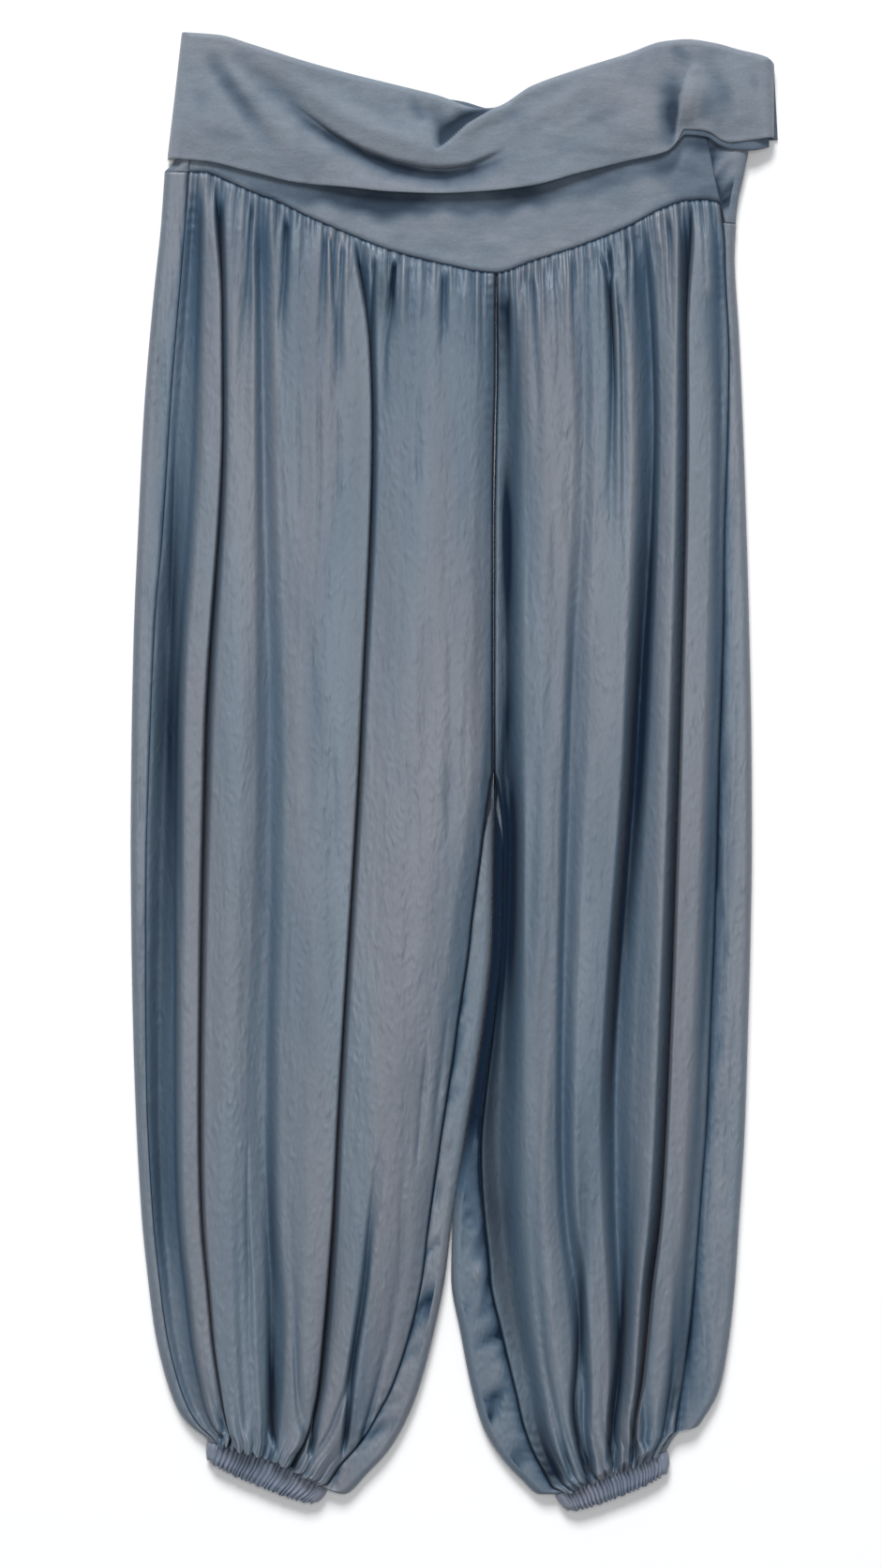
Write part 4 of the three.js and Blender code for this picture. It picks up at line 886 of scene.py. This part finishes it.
def leg_back(leg):
    s = runs((0, 3, 50), (3, 15, 130), (15, LAST_SECTION, 40))[:, None]
    left, right = section_ends(leg, s, True)
    width = np.hypot(right[0] - left[0], right[1] - left[1])
    inner_turn = step(CROTCH[0], CROTCH[1], s)
    whole = np.ones_like(s)
    outer, inner = back_grids({
        "width": width,
        "leftStrip": left[2],
        "rightStrip": right[2],
        "leftTurn": whole if leg.is_left else inner_turn,
        "rightTurn": inner_turn if leg.is_left else whole,
        "height": lerp(LEG_EDGE, CUFF_HEIGHT, step(14, LAST_SECTION, s)),
        "place": lambda share: section_place(leg, s, share, True),
        "lift": 0,
    })
    inner_side = 0 if leg.is_left else 1
    slanted = (1, 0.1)[::1 if leg.is_left else -1]
    fall = (0, 0.1) if leg.is_left else (0.35, 0.1)
    valley = dress_strips(outer, inner, leg.salt, 0.5, slanted, fall)
    spread = step(60, -30, outer[..., 1]) * (1 - step(-290, -330, outer[..., 1]))
    toward = LEGS_CLOSE * (1 if leg.is_left else -1) * spread
    edge = slice(0, STRIP_COLUMNS + 10) if inner_side == 0 else slice(-STRIP_COLUMNS - 10, None)
    outer[:, edge, 0] += toward[:, edge]
    inner[:, edge, 0] += toward[:, edge]
    # Painted shade on the creases that rise from the surface, and on the right leg's strip beside the left
    # leg's edge, where a dark crevice runs.
    valley += 0.5 * floor_creases(outer, inner, leg.salt)
    if not leg.is_left:
        down = outer[:, -STRIP_COLUMNS - 8:, 1]
        valley[:, -STRIP_COLUMNS - 8:] += step(120, 30, down) * (1 - 0.8 * step(-210, -320, down))
    return outer, inner, {"valley": np.clip(0.05 + valley, 0, 1.1)}


# Waistband

BAND_SIDES = table("y leftX leftSeam rightSeam rightX", [
    [372, -200, -182.4, 184.1, 191.4],
    [387, -199, -181.65, 180.9, 193],
    [408, -197.6, -180.6, 176.4, 197.5],
    [413, -193, -180.35, 175.4, 198.5],
    [420, -189.5, -180, 173.9, 200],
    [455, -186, -178.25, 166.5, 205],
    [500, -181, -176, 156.9, 208],
])
band_side = {key: curve_of(BAND_SIDES, "y", key) for key in BAND_SIDES[0]}
YOKE_BOX = (-180, 340, 180, 440)
FLAP_BACK_BOX = (-190, 400, 215, 500)
FOLD_INSET = 3.2
HEM_CLEAR = 1.2


def back_peek(x):
    return 1.6 * bell(x - 8, 15)


def front_dip(x):
    return 2.8 * bell(x - 9, 13)


def side_point(row_y, side_x):
    y = row_y(side_x(430.0))
    for _ in range(8):
        y = row_y(side_x(y))
    return side_x(y), y


def band_front():
    rows = []
    for down in np.linspace(0, 1, 90):
        def row_y(x, down=down):
            return lerp(top_edge(x) - FOLD_INSET - front_dip(x), yoke_seam(x), down)

        left_x, _ = side_point(row_y, lambda y: band_side["leftSeam"](y) + SEAM_GAP)
        right_x, _ = side_point(row_y, lambda y: band_side["rightSeam"](y) - SEAM_GAP)
        x = np.linspace(left_x, right_x, 260)
        rows.append(np.stack([x, row_y(x), np.full_like(x, BAND_EDGE)], axis=-1))
    grid = np.stack(rows)
    x, y = grid[..., 0], grid[..., 1]
    above = y - yoke_seam(x)
    puckers = np.sin(x * 1.15 + 2 * np.sin(x * 0.17)) * bell(above - 2.0, 3.2) * 0.28
    roll = -1.1 * bell(above, 1.6)
    soft = wrinkle_field("yoke", x, y, YOKE_BOX)
    grid[..., 2] += puckers + roll - soft * step(0, 12, above)
    # Painted shadow of the flap's hem on the band below it, wavy at its lower edge and longest in places,
    # with painted shade along the yoke seam and towards the right side.
    from_hem = flap_hem(x) - y
    reach = 12 + 7 * bell(x + 50, 60) + 6 * bell(x - 52, 26)
    reach = reach + 2.5 * np.sin(x * 0.09) + 1.6 * np.sin(x * 0.23)
    painted_flap_shadow = 0.38 + 0.36 * bell(x + 52, 46) + 0.36 * bell(x - 45, 18)
    reach = reach + 8 * bell(x - 118, 40)
    painted_flap_shadow = painted_flap_shadow * (1 - step(reach * 0.55, reach * 1.15, from_hem)) * step(-186, -150, x)
    painted_shade_right = 0.35 * step(120, 176, x)
    return grid, {"valley": 0.2 + 0.3 * bell(above, 2.0) + painted_flap_shadow + painted_shade_right}


def band_back():
    parts = []
    for down in runs((0, 1, 40), (1, 2, 50)):
        def row_y(x, down=down):
            above = top_edge(x) - FOLD_INSET + back_peek(x)
            hem = back_hem(x) - HEM_CLEAR
            if down <= 1:
                return lerp(above, hem, down)
            return lerp(hem, back_seam(x), down - 1)

        left_x, _ = side_point(row_y, band_side["leftX"])
        right_x, _ = side_point(row_y, band_side["rightX"])
        left_seam, _ = side_point(row_y, band_side["leftSeam"])
        right_seam, _ = side_point(row_y, band_side["rightSeam"])
        lift = (JERSEY + SEAM_GAP) * (1 - step(1.0, 1.3, down))
        one = np.ones((1, 1))

        def place(share):
            x = lerp(left_x, right_x, share)
            return x, row_y(x)

        parts.append(back_grids({
            "width": one * (right_x - left_x),
            "leftStrip": one * (left_seam - left_x),
            "rightStrip": one * (right_x - right_seam),
            "leftTurn": one,
            "rightTurn": one,
            "height": one * (BAND_EDGE - lift),
            "place": place,
            "lift": lift,
        }))
    outer = np.concatenate([part[0] for part in parts])
    inner = np.concatenate([part[1] for part in parts])
    # Painted shade over the whole back of the band, with more on its turned edges.
    valley = dress_strips(outer, inner, 7, 0.5)
    return outer, inner, {"valley": 0.3 + valley}


FLAP_REST = BAND_EDGE + SEAM_GAP + JERSEY
FLAP_SWELL = 5.6
FLAP_ROLL = 9.0
HEM_SETTLES = 4.2
FLAP_RIM = JERSEY * 2 + SEAM_GAP
FOLD_ROLL = 5.0


def flap_front():
    sides = runs((0, 0.03, 16), (0.03, 0.97, 250), (0.97, 1, 16))[None, :]
    shares = runs((0, 0.08, 14), (0.08, 1, 100))[:, None]
    top = lerp(TOP_EDGE[0]["x"], TOP_EDGE[-1]["x"], sides)
    hem = lerp(FLAP_HEM[0]["x"], FLAP_HEM[-1]["x"], sides)
    x = lerp(top, hem, shares)
    y = lerp(top_edge(top) - front_dip(top), flap_hem(hem), shares)
    sunk = np.zeros_like(x)
    shift = np.zeros(x.shape + (2,))
    for fold in FLAP_FOLDS:
        distance, above, along, toward = from_path(fold["path"], x, y)
        fade = np.sin(np.pi * np.clip(along, 0, 1))
        sunk += fold["depth"] * fade * bell(distance, np.where(above, fold["above"], fold["below"]))
        if fold["lean"]:
            amount = fold["lean"] * fade * bell(distance - 4.5, 4.0) * above
            shift += amount[..., None] * toward
    fine = wrinkle_field("flap", x, y, box_of(x, y))
    full = np.maximum(FLAP_REST + FLAP_SWELL - sunk - fine, FLAP_REST)
    from_side = np.minimum(sides, 1 - sides) * (TOP_EDGE[-1]["x"] - TOP_EDGE[0]["x"])
    from_top = y[:1] - y

    def rounded(distance, reach):
        return np.sqrt(1 - (1 - np.clip(distance / reach, 0, 1)) ** 2)

    at_side = lerp(FLAP_RIM, full, rounded(from_side, FLAP_ROLL))
    z = np.minimum(at_side, lerp(BAND_EDGE, full, rounded(from_top, FOLD_ROLL)))
    from_hem = y - y[-1:]
    lying = 1 - step(-105, -60, x) * (1 - step(70, 120, x))
    z = z - HEM_SETTLES * lying * bell(from_hem, 15) * step(0, 12, from_side)
    z = z - 0.5 * bell(from_hem, 0.9)
    inside = step(0, 6, from_side) * step(0, 6, from_top)
    x = x + shift[..., 0] * inside
    y = y + shift[..., 1] * inside
    outer, inner = shell_skins(x, y, z, 1.3, JERSEY + SEAM_GAP)
    # Painted shade: darker where the flap lies below its surroundings and along the shade paths, such as
    # under its roll.
    wide = blurred(blurred(z, 20, 1), 14, 0)
    valley = 0.18 + 0.62 * np.clip((wide - z) / 2.8, -0.3, 1)
    for shade in FLAP_SHADES:
        distance, above, along, _ = from_path(shade["path"], x, y)
        fade = np.sin(np.pi * np.clip(along, 0, 1)) ** 0.7
        valley += shade["depth"] * fade * bell(distance, np.where(above, shade["above"], shade["below"]))
    return outer, inner, {"valley": np.clip(valley, 0, 1)}


LIP = table("x y", [
    [152, 428], [157, 433], [171, 431.6], [180.6, 425.6], [189.6, 422.7], [201.7, 422.4], [214, 425],
])
LIP_TOP = 444.0


def flap_under():
    lip = curve_of(LIP, "x", "y")
    x = np.linspace(LIP[0]["x"], LIP[-1]["x"], 90)[None, :] * np.ones((24, 1))
    y = lerp(LIP_TOP, lip(x), np.linspace(0, 1, 24)[:, None])
    z = FLAP_REST - 3 * step(201, 214, x) - 0.5 * bell(y - lip(x), 1.0)
    outer, inner = shell_skins(x, y, z, 1.2)
    # Painted shade over the whole lip that lies beneath the flap.
    return outer, inner, {"valley": np.full(x.shape, 0.6)}


def flap_back():
    t = np.linspace(0, 1, 150)[None, :]
    shares = np.linspace(0, 1, 36)[:, None]
    top = lerp(TOP_EDGE[0]["x"], TOP_EDGE[-1]["x"], t)
    hem = lerp(BACK_HEM[0]["x"], 220.6, t)
    x = lerp(top, hem, shares)
    y = lerp(top_edge(top) - 0.5 + back_peek(top), back_hem(hem), shares)
    outer, inner = shell_skins(x, y, np.full_like(x, JERSEY), JERSEY)
    soft = wrinkle_field("flap_back", x, y, FLAP_BACK_BOX)
    inner[..., 2] += np.clip(soft, 0, WRINKLES["flap_back"]["depth"])
    # Painted shade over the whole back layer, which lies under the rest.
    return outer, inner, {"valley": np.full(x.shape, 0.5)}


# Cuffs

CUFF_RIBS = 26
RIB_RISE = 1.5
RIB_SLANT = 0.03
CUFF_RINGS = table("down leftInset rightInset height", [
    [0, 0.3, 0.3, 9.6],
    [0.3, 0.6, 0.4, CUFF_HEIGHT],
    [0.75, 2.2, 2, CUFF_HEIGHT],
    [1, 4.5, 5, 8.8],
])
CORNER_ROUNDING = 0.28


def cuff_grids(leg):
    e = leg.edges
    start = np.array([e["leftX"](LAST_SECTION), e["leftY"](LAST_SECTION)])
    end = np.array([e["rightX"](LAST_SECTION), e["rightY"](LAST_SECTION)])
    length = np.hypot(*(end - start))
    along = (end - start) / length
    down_way = np.array([along[1], -along[0]])
    profile = {key: curve_of(CUFF_RINGS, "down", key) for key in CUFF_RINGS[0]}
    rows = np.linspace(0, 1, 34)[:, None]
    front_steps, end_steps, floor_steps = 340, 14, 30
    skins = []
    ribs = gather_list(CUFF_RIBS, leg.salt + 30, 1.0, 100, 101)
    rib_fine = gather_list(CUFF_RIBS * 2, leg.salt + 33, 0.1, 100, 101)
    for thickness in (0.0, SHELL):
        height = profile["height"](rows)
        radius = height / 2 - thickness
        low = profile["leftInset"](rows) + thickness + radius
        high = length - profile["rightInset"](rows) - thickness - radius
        share = np.linspace(0, 1, front_steps)[None, :]
        front_a = lerp(high, low, share)
        wave = 0.5 + 0.5 * np.sin(rows * 7 + front_a * 0.13)
        place = np.clip(1 - share + RIB_SLANT * (rows - 0.5) + 0.004 * np.sin(rows * 9), 0, 1)
        ridge = gather_field(ribs, place, rows * 0) + gather_field(rib_fine, place, rows * 0)
        edge_fade = step(0, 0.04, share) * (1 - step(0.96, 1, share))
        pinch = 0.8 + 0.2 * np.cos(rows * np.pi * 2)
        front_z = height - thickness + edge_fade * RIB_RISE * ridge * pinch * (0.75 + 0.25 * wave)
        angle = np.pi * np.linspace(0, 1, end_steps + 2)[None, 1:-1]
        left_a = low - radius * np.sin(angle)
        left_z = height / 2 + radius * np.cos(angle)
        floor_a = lerp(low, high, np.linspace(0, 1, floor_steps)[None, :])
        floor_z = np.full_like(floor_a, thickness)
        right_a = high + radius * np.sin(angle)
        right_z = height / 2 - radius * np.cos(angle)
        a = np.concatenate([front_a, left_a, floor_a, right_a], axis=1)
        z = np.concatenate([front_z, left_z, floor_z, right_z], axis=1)
        place = np.clip(a / length, 0, 1)
        rounding = 1 - CORNER_ROUNDING * np.abs(2 * place - 1) ** 3
        rise = leg.cuff_bow * np.sin(np.pi * place) * (1 - rows)
        scallop = 0.7 * np.sin(a * 1.5 + 2 * np.sin(a * 0.37)) * bell(rows - 1, 0.15)
        fall = SEAM_GAP + leg.cuff_depth * rows * rounding - rise + scallop
        x = start[0] + along[0] * a + down_way[0] * fall
        y = start[1] + along[1] * a + down_way[1] * fall
        skins.append(np.stack([x, y, z], axis=-1))
    outer, inner = skins
    # Painted shade between the ribs: darker where the cuff lies below its neighbours.
    valley = 0.22 + 0.5 * np.clip((blurred(outer[..., 2], 10, 1) - outer[..., 2]) / 0.6, -0.5, 1)
    return outer, inner, {"valley": valley}


# Materials


def colour_mix(tree, factor, first, second):
    node = tree.nodes.new("ShaderNodeMix")
    node.data_type = "RGBA"
    sockets = {socket.identifier: socket for socket in node.inputs}
    for key, value in (("A_Color", first), ("B_Color", second)):
        if isinstance(value, tuple):
            sockets[key].default_value = (*value, 1)
        else:
            tree.links.new(value, sockets[key])
    tree.links.new(factor, sockets["Factor_Float"])
    outputs = {socket.identifier: socket for socket in node.outputs}
    return outputs["Result_Color"]


def noise(tree, coordinates, fineness, detail=3.0, roughness=0.55, turn=0.0):
    scale, across, along = fineness
    mapping = tree.nodes.new("ShaderNodeMapping")
    mapping.inputs["Rotation"].default_value = (0, 0, math.radians(turn))
    mapping.inputs["Scale"].default_value = (across, along, 1.0)
    tree.links.new(coordinates, mapping.inputs["Vector"])
    node = tree.nodes.new("ShaderNodeTexNoise")
    node.inputs["Scale"].default_value = scale
    node.inputs["Detail"].default_value = detail
    node.inputs["Roughness"].default_value = roughness
    tree.links.new(mapping.outputs["Vector"], node.inputs["Vector"])
    return node.outputs["Fac"]


def ranged(tree, value, from_low, from_high, to_low, to_high):
    node = tree.nodes.new("ShaderNodeMapRange")
    node.inputs["From Min"].default_value = from_low
    node.inputs["From Max"].default_value = from_high
    node.inputs["To Min"].default_value = to_low
    node.inputs["To Max"].default_value = to_high
    tree.links.new(value, node.inputs["Value"])
    return node.outputs["Result"]


def maths(tree, operation, a, b):
    node = tree.nodes.new("ShaderNodeMath")
    node.operation = operation
    for k, value in enumerate((a, b)):
        if isinstance(value, (int, float)):
            node.inputs[k].default_value = value
        else:
            tree.links.new(value, node.inputs[k])
    return node.outputs["Value"]


RIDGE_TURN = -22.0
LEAST_GLOSS = 0.04


def cloth_material(look):
    material = bpy.data.materials.new(look["name"])
    material.use_nodes = True
    tree = material.node_tree
    shader = tree.nodes["Principled BSDF"]
    shader.inputs["Metallic"].default_value = look["metallic"]
    shader.inputs["Sheen Weight"].default_value = look["sheen"]
    shader.inputs["Sheen Roughness"].default_value = 0.5
    shader.inputs["Sheen Tint"].default_value = (*look["sheen_tint"], 1)
    coordinates = tree.nodes.new("ShaderNodeTexCoord").outputs["Object"]
    attribute = tree.nodes.new("ShaderNodeAttribute")
    attribute.attribute_name = "valley"
    valley = attribute.outputs["Fac"]
    patches = noise(tree, coordinates, look["patch"], 2.0)
    drift = ranged(tree, patches, 0.35, 0.65, -look["patchiness"], look["patchiness"])
    # Painted shade: its amount, with random patches added, mixes the colour towards the shade colours below
    # and lowers the gloss.
    factor = maths(tree, "ADD", valley, drift)
    gloss = ranged(tree, factor, 0.3, 0.9, look["specular"], LEAST_GLOSS)
    tree.links.new(gloss, shader.inputs["Specular IOR Level"])
    bands = noise(tree, coordinates, look["band"], 1.0)
    light = colour_mix(tree, ranged(tree, bands, 0.38, 0.62, 0, 1), look["crest"], look["crest_cool"])
    # A second attribute turns the painted shade grey where the cloth turns away from the light.
    grey = tree.nodes.new("ShaderNodeAttribute")
    grey.attribute_name = "grey"
    shaded = colour_mix(tree, grey.outputs["Fac"], look["valley"], look["grey"])
    middle = colour_mix(tree, ranged(tree, factor, 0.12, 0.5, 0, 1), light, shaded)
    colour = colour_mix(tree, ranged(tree, factor, 0.5, 0.95, 0, 1), middle, look["deep"])
    grain = noise(tree, coordinates, look["grain"], 4.0, 0.6)
    streak = noise(tree, coordinates, look["streak"], 2.0)
    streak = ranged(tree, streak, 0.3, 0.7, 1 - look["streak_tone"], 1 + look["streak_tone"])
    tone = ranged(tree, grain, 0.3, 0.7, 1 - look["grain_tone"], 1 + look["grain_tone"])
    tone = maths(tree, "MULTIPLY", tone, streak)
    toned = tree.nodes.new("ShaderNodeVectorMath")
    toned.operation = "SCALE"
    tree.links.new(colour, toned.inputs[0])
    tree.links.new(tone, toned.inputs["Scale"])
    tree.links.new(toned.outputs["Vector"], shader.inputs["Base Color"])
    rough = ranged(tree, patches, 0.3, 0.7, look["roughness"] - 0.05, look["roughness"] + 0.07)
    tree.links.new(rough, shader.inputs["Roughness"])
    crinkle = noise(tree, coordinates, look["crinkle"])
    ridges = noise(tree, coordinates, look["ridge"], turn=RIDGE_TURN)
    ridges.node.noise_type = "RIDGED_MULTIFRACTAL"
    height = maths(tree, "ADD", maths(tree, "MULTIPLY", grain, look["grain_height"]),
                   maths(tree, "MULTIPLY", crinkle, look["crinkle_height"]))
    height = maths(tree, "ADD", height, maths(tree, "MULTIPLY", ridges, look["ridge_height"]))
    bump = tree.nodes.new("ShaderNodeBump")
    bump.inputs["Strength"].default_value = 1.0
    bump.inputs["Distance"].default_value = 0.001
    tree.links.new(height, bump.inputs["Height"])
    tree.links.new(bump.outputs["Normal"], shader.inputs["Normal"])
    return material


# Finishes. Light cloth goes from crest to crest_cool; the three colours after them are painted shade: a
# blue shade, a grey shade and the darkest shade, for deep narrow grooves.
FINISHES = table("name crest crest_cool valley grey deep", [
    ["leg_cloth", (0.145, 0.163, 0.197), (0.119, 0.156, 0.198), (0.044, 0.083, 0.132), (0.062, 0.081, 0.1),
     (0.005, 0.014, 0.031)],
    ["band_jersey", (0.186, 0.21, 0.248), (0.168, 0.202, 0.244), (0.098, 0.13, 0.172), (0.1, 0.125, 0.155),
     (0.03, 0.046, 0.07)],
    ["cuff_cloth", (0.18, 0.2, 0.255), (0.155, 0.188, 0.248), (0.062, 0.088, 0.138), (0.07, 0.09, 0.12),
     (0.018, 0.028, 0.05)],
])
SURFACES = table("roughness specular metallic sheen sheen_tint patchiness streak_tone grain_tone", [
    [0.5, 0.55, 0.1, 0.08, (0.9, 0.9, 1.0), 0.07, 0.06, 0.05],
    [0.85, 0.25, 0.0, 0.15, (0.95, 0.95, 1.0), 0.09, 0.05, 0.07],
    [0.5, 0.4, 0.08, 0.1, (0.95, 0.92, 1.0), 0.08, 0.07, 0.05],
])
# The noises of each finish, in the same order: how fine each is and how it is stretched
NOISES = table("patch band streak grain crinkle ridge", [
    [(9, 2.2, 0.45), (12, 2.6, 0.22), (60, 1.6, 0.06), (260, 2.2, 0.8), (60, 1.6, 0.6), (190, 1.3, 0.6)],
    [(40, 0.8, 1.6), (10, 1.0, 1.4), (150, 0.5, 1.6), (420, 1.0, 1.6), (90, 0.8, 2.0), (50, 0.8, 1.6)],
    [(20, 1.0, 1.0), (30, 1.0, 0.6), (180, 1.6, 0.3), (320, 2.0, 1.0), (120, 1.5, 0.8), (80, 1.0, 1.0)],
])
RELIEFS = table("grain_height crinkle_height ridge_height", [
    [0.1, 0.8, 0.5],
    [0.2, 0.4, 0.2],
    [0.1, 0.25, 0.15],
])
MATERIALS = {}
for colours, surface, noises, relief in zip(FINISHES, SURFACES, NOISES, RELIEFS):
    MATERIALS[colours["name"]] = cloth_material({**colours, **surface, **noises, **relief})


# Pieces

# What each sheet is made by, the width, length and area of the cut that shows, in metres, how it
# is held and what it lies on
SHEETS = table("node make slot width length area held below", [
    ["leg_left_front", partial(leg_front, LEFT_LEG), "leg_cloth", 0.36, 0.88, 0.27, "gathered",
     ["leg_left_back"]],
    ["leg_right_front", partial(leg_front, RIGHT_LEG), "leg_cloth", 0.27, 0.88, 0.2, "gathered",
     ["leg_right_back"]],
    ["leg_left_back", partial(leg_back, LEFT_LEG), "leg_cloth", 0.37, 0.88, 0.28, "laid", []],
    ["leg_right_back", partial(leg_back, RIGHT_LEG), "leg_cloth", 0.34, 0.88, 0.23, "laid", []],
    ["band_front", band_front, "band_jersey", 0.36, 0.15, 0.036, "laid", ["band_back"]],
    ["band_back", band_back, "band_jersey", 0.43, 0.15, 0.046, "folded", ["flap_back"]],
    ["flap_front", flap_front, "band_jersey", 0.44, 0.1, 0.034, "folded", ["band_front"]],
    ["flap_front_under", flap_under, "band_jersey", 0.065, 0.022, 0.0012, "folded", ["band_front"]],
    ["flap_back", flap_back, "band_jersey", 0.43, 0.09, 0.03, "folded", []],
    ["cuff_left", partial(cuff_grids, LEFT_LEG), "cuff_cloth", 0.2, 0.026, 0.0036, "gathered", []],
    ["cuff_right", partial(cuff_grids, RIGHT_LEG), "cuff_cloth", 0.2, 0.026, 0.0036, "gathered", []],
])


def lay_sheet(sheet):
    name = sheet["node"] + "_cloth"
    made = sheet["make"]()
    if len(made) == 2:
        piece = sheet_piece(name, *made)
    else:
        is_cuff = sheet["slot"] == "cuff_cloth"
        piece = shell_piece(name, *made, wrap=is_cuff, flip=is_cuff)
    piece.data.materials.append(MATERIALS[sheet["slot"]])
    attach(piece, "root")
    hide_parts(sheet["node"])


for sheet in SHEETS:
    lay_sheet(sheet)


# Floor, light and camera


FLOOR_HALF = 4.0
FLOOR_DROP = 0.0004


def pale_floor():
    half = FLOOR_HALF
    corners = [(-half, -half), (half, -half), (half, half), (-half, half)]
    mesh = bpy.data.meshes.new("floor")
    mesh.from_pydata([(x, y, -FLOOR_DROP) for x, y in corners], [], [(0, 1, 2, 3)])
    floor = bpy.data.objects.new("floor", mesh)
    bpy.context.scene.collection.objects.link(floor)
    material = bpy.data.materials.new("pale_floor")
    material.use_nodes = True
    shader = material.node_tree.nodes["Principled BSDF"]
    shader.inputs["Base Color"].default_value = (0.93, 0.934, 0.94, 1)
    shader.inputs["Roughness"].default_value = 0.9
    shader.inputs["Specular IOR Level"].default_value = 0.1
    mesh.materials.append(material)


def area_light(name, place, size, power):
    """A square light that faces the middle of the garment."""
    data = bpy.data.lights.new(name, "AREA")
    data.shape = "RECTANGLE"
    data.size = size
    data.size_y = size
    data.energy = power
    light = bpy.data.objects.new(name, data)
    light.location = place
    light.rotation_mode = "QUATERNION"
    light.rotation_quaternion = (-Vector(place)).to_track_quat("-Z", "Y")
    bpy.context.scene.collection.objects.link(light)


pale_floor()
area_light("key", (-0.9, 6.3, 5.7), 3.0, 700)
area_light("front", (0.1, 0.1, 3.4), 1.2, 34)

world = bpy.data.worlds.new("studio")
world.use_nodes = True
world.node_tree.nodes["Background"].inputs["Color"].default_value = (0.98, 0.99, 1.0, 1)
world.node_tree.nodes["Background"].inputs["Strength"].default_value = 0.26
bpy.context.scene.world = world

CENTRE_X = -9.2
CENTRE_Y = -8.3
FRAME_HEIGHT = 1070.0
LENS = 100.0
SENSOR = 36.0
camera_data = bpy.data.cameras.new("camera")
camera_data.lens = LENS
camera_data.sensor_width = SENSOR
camera = bpy.data.objects.new("camera", camera_data)
away = FRAME_HEIGHT / 2 / (SENSOR / 2 / LENS)
camera.location = (CENTRE_X * MM, CENTRE_Y * MM, away * MM)
bpy.context.scene.collection.objects.link(camera)
bpy.context.scene.camera = camera
bpy.context.scene.view_settings.view_transform = "Standard"
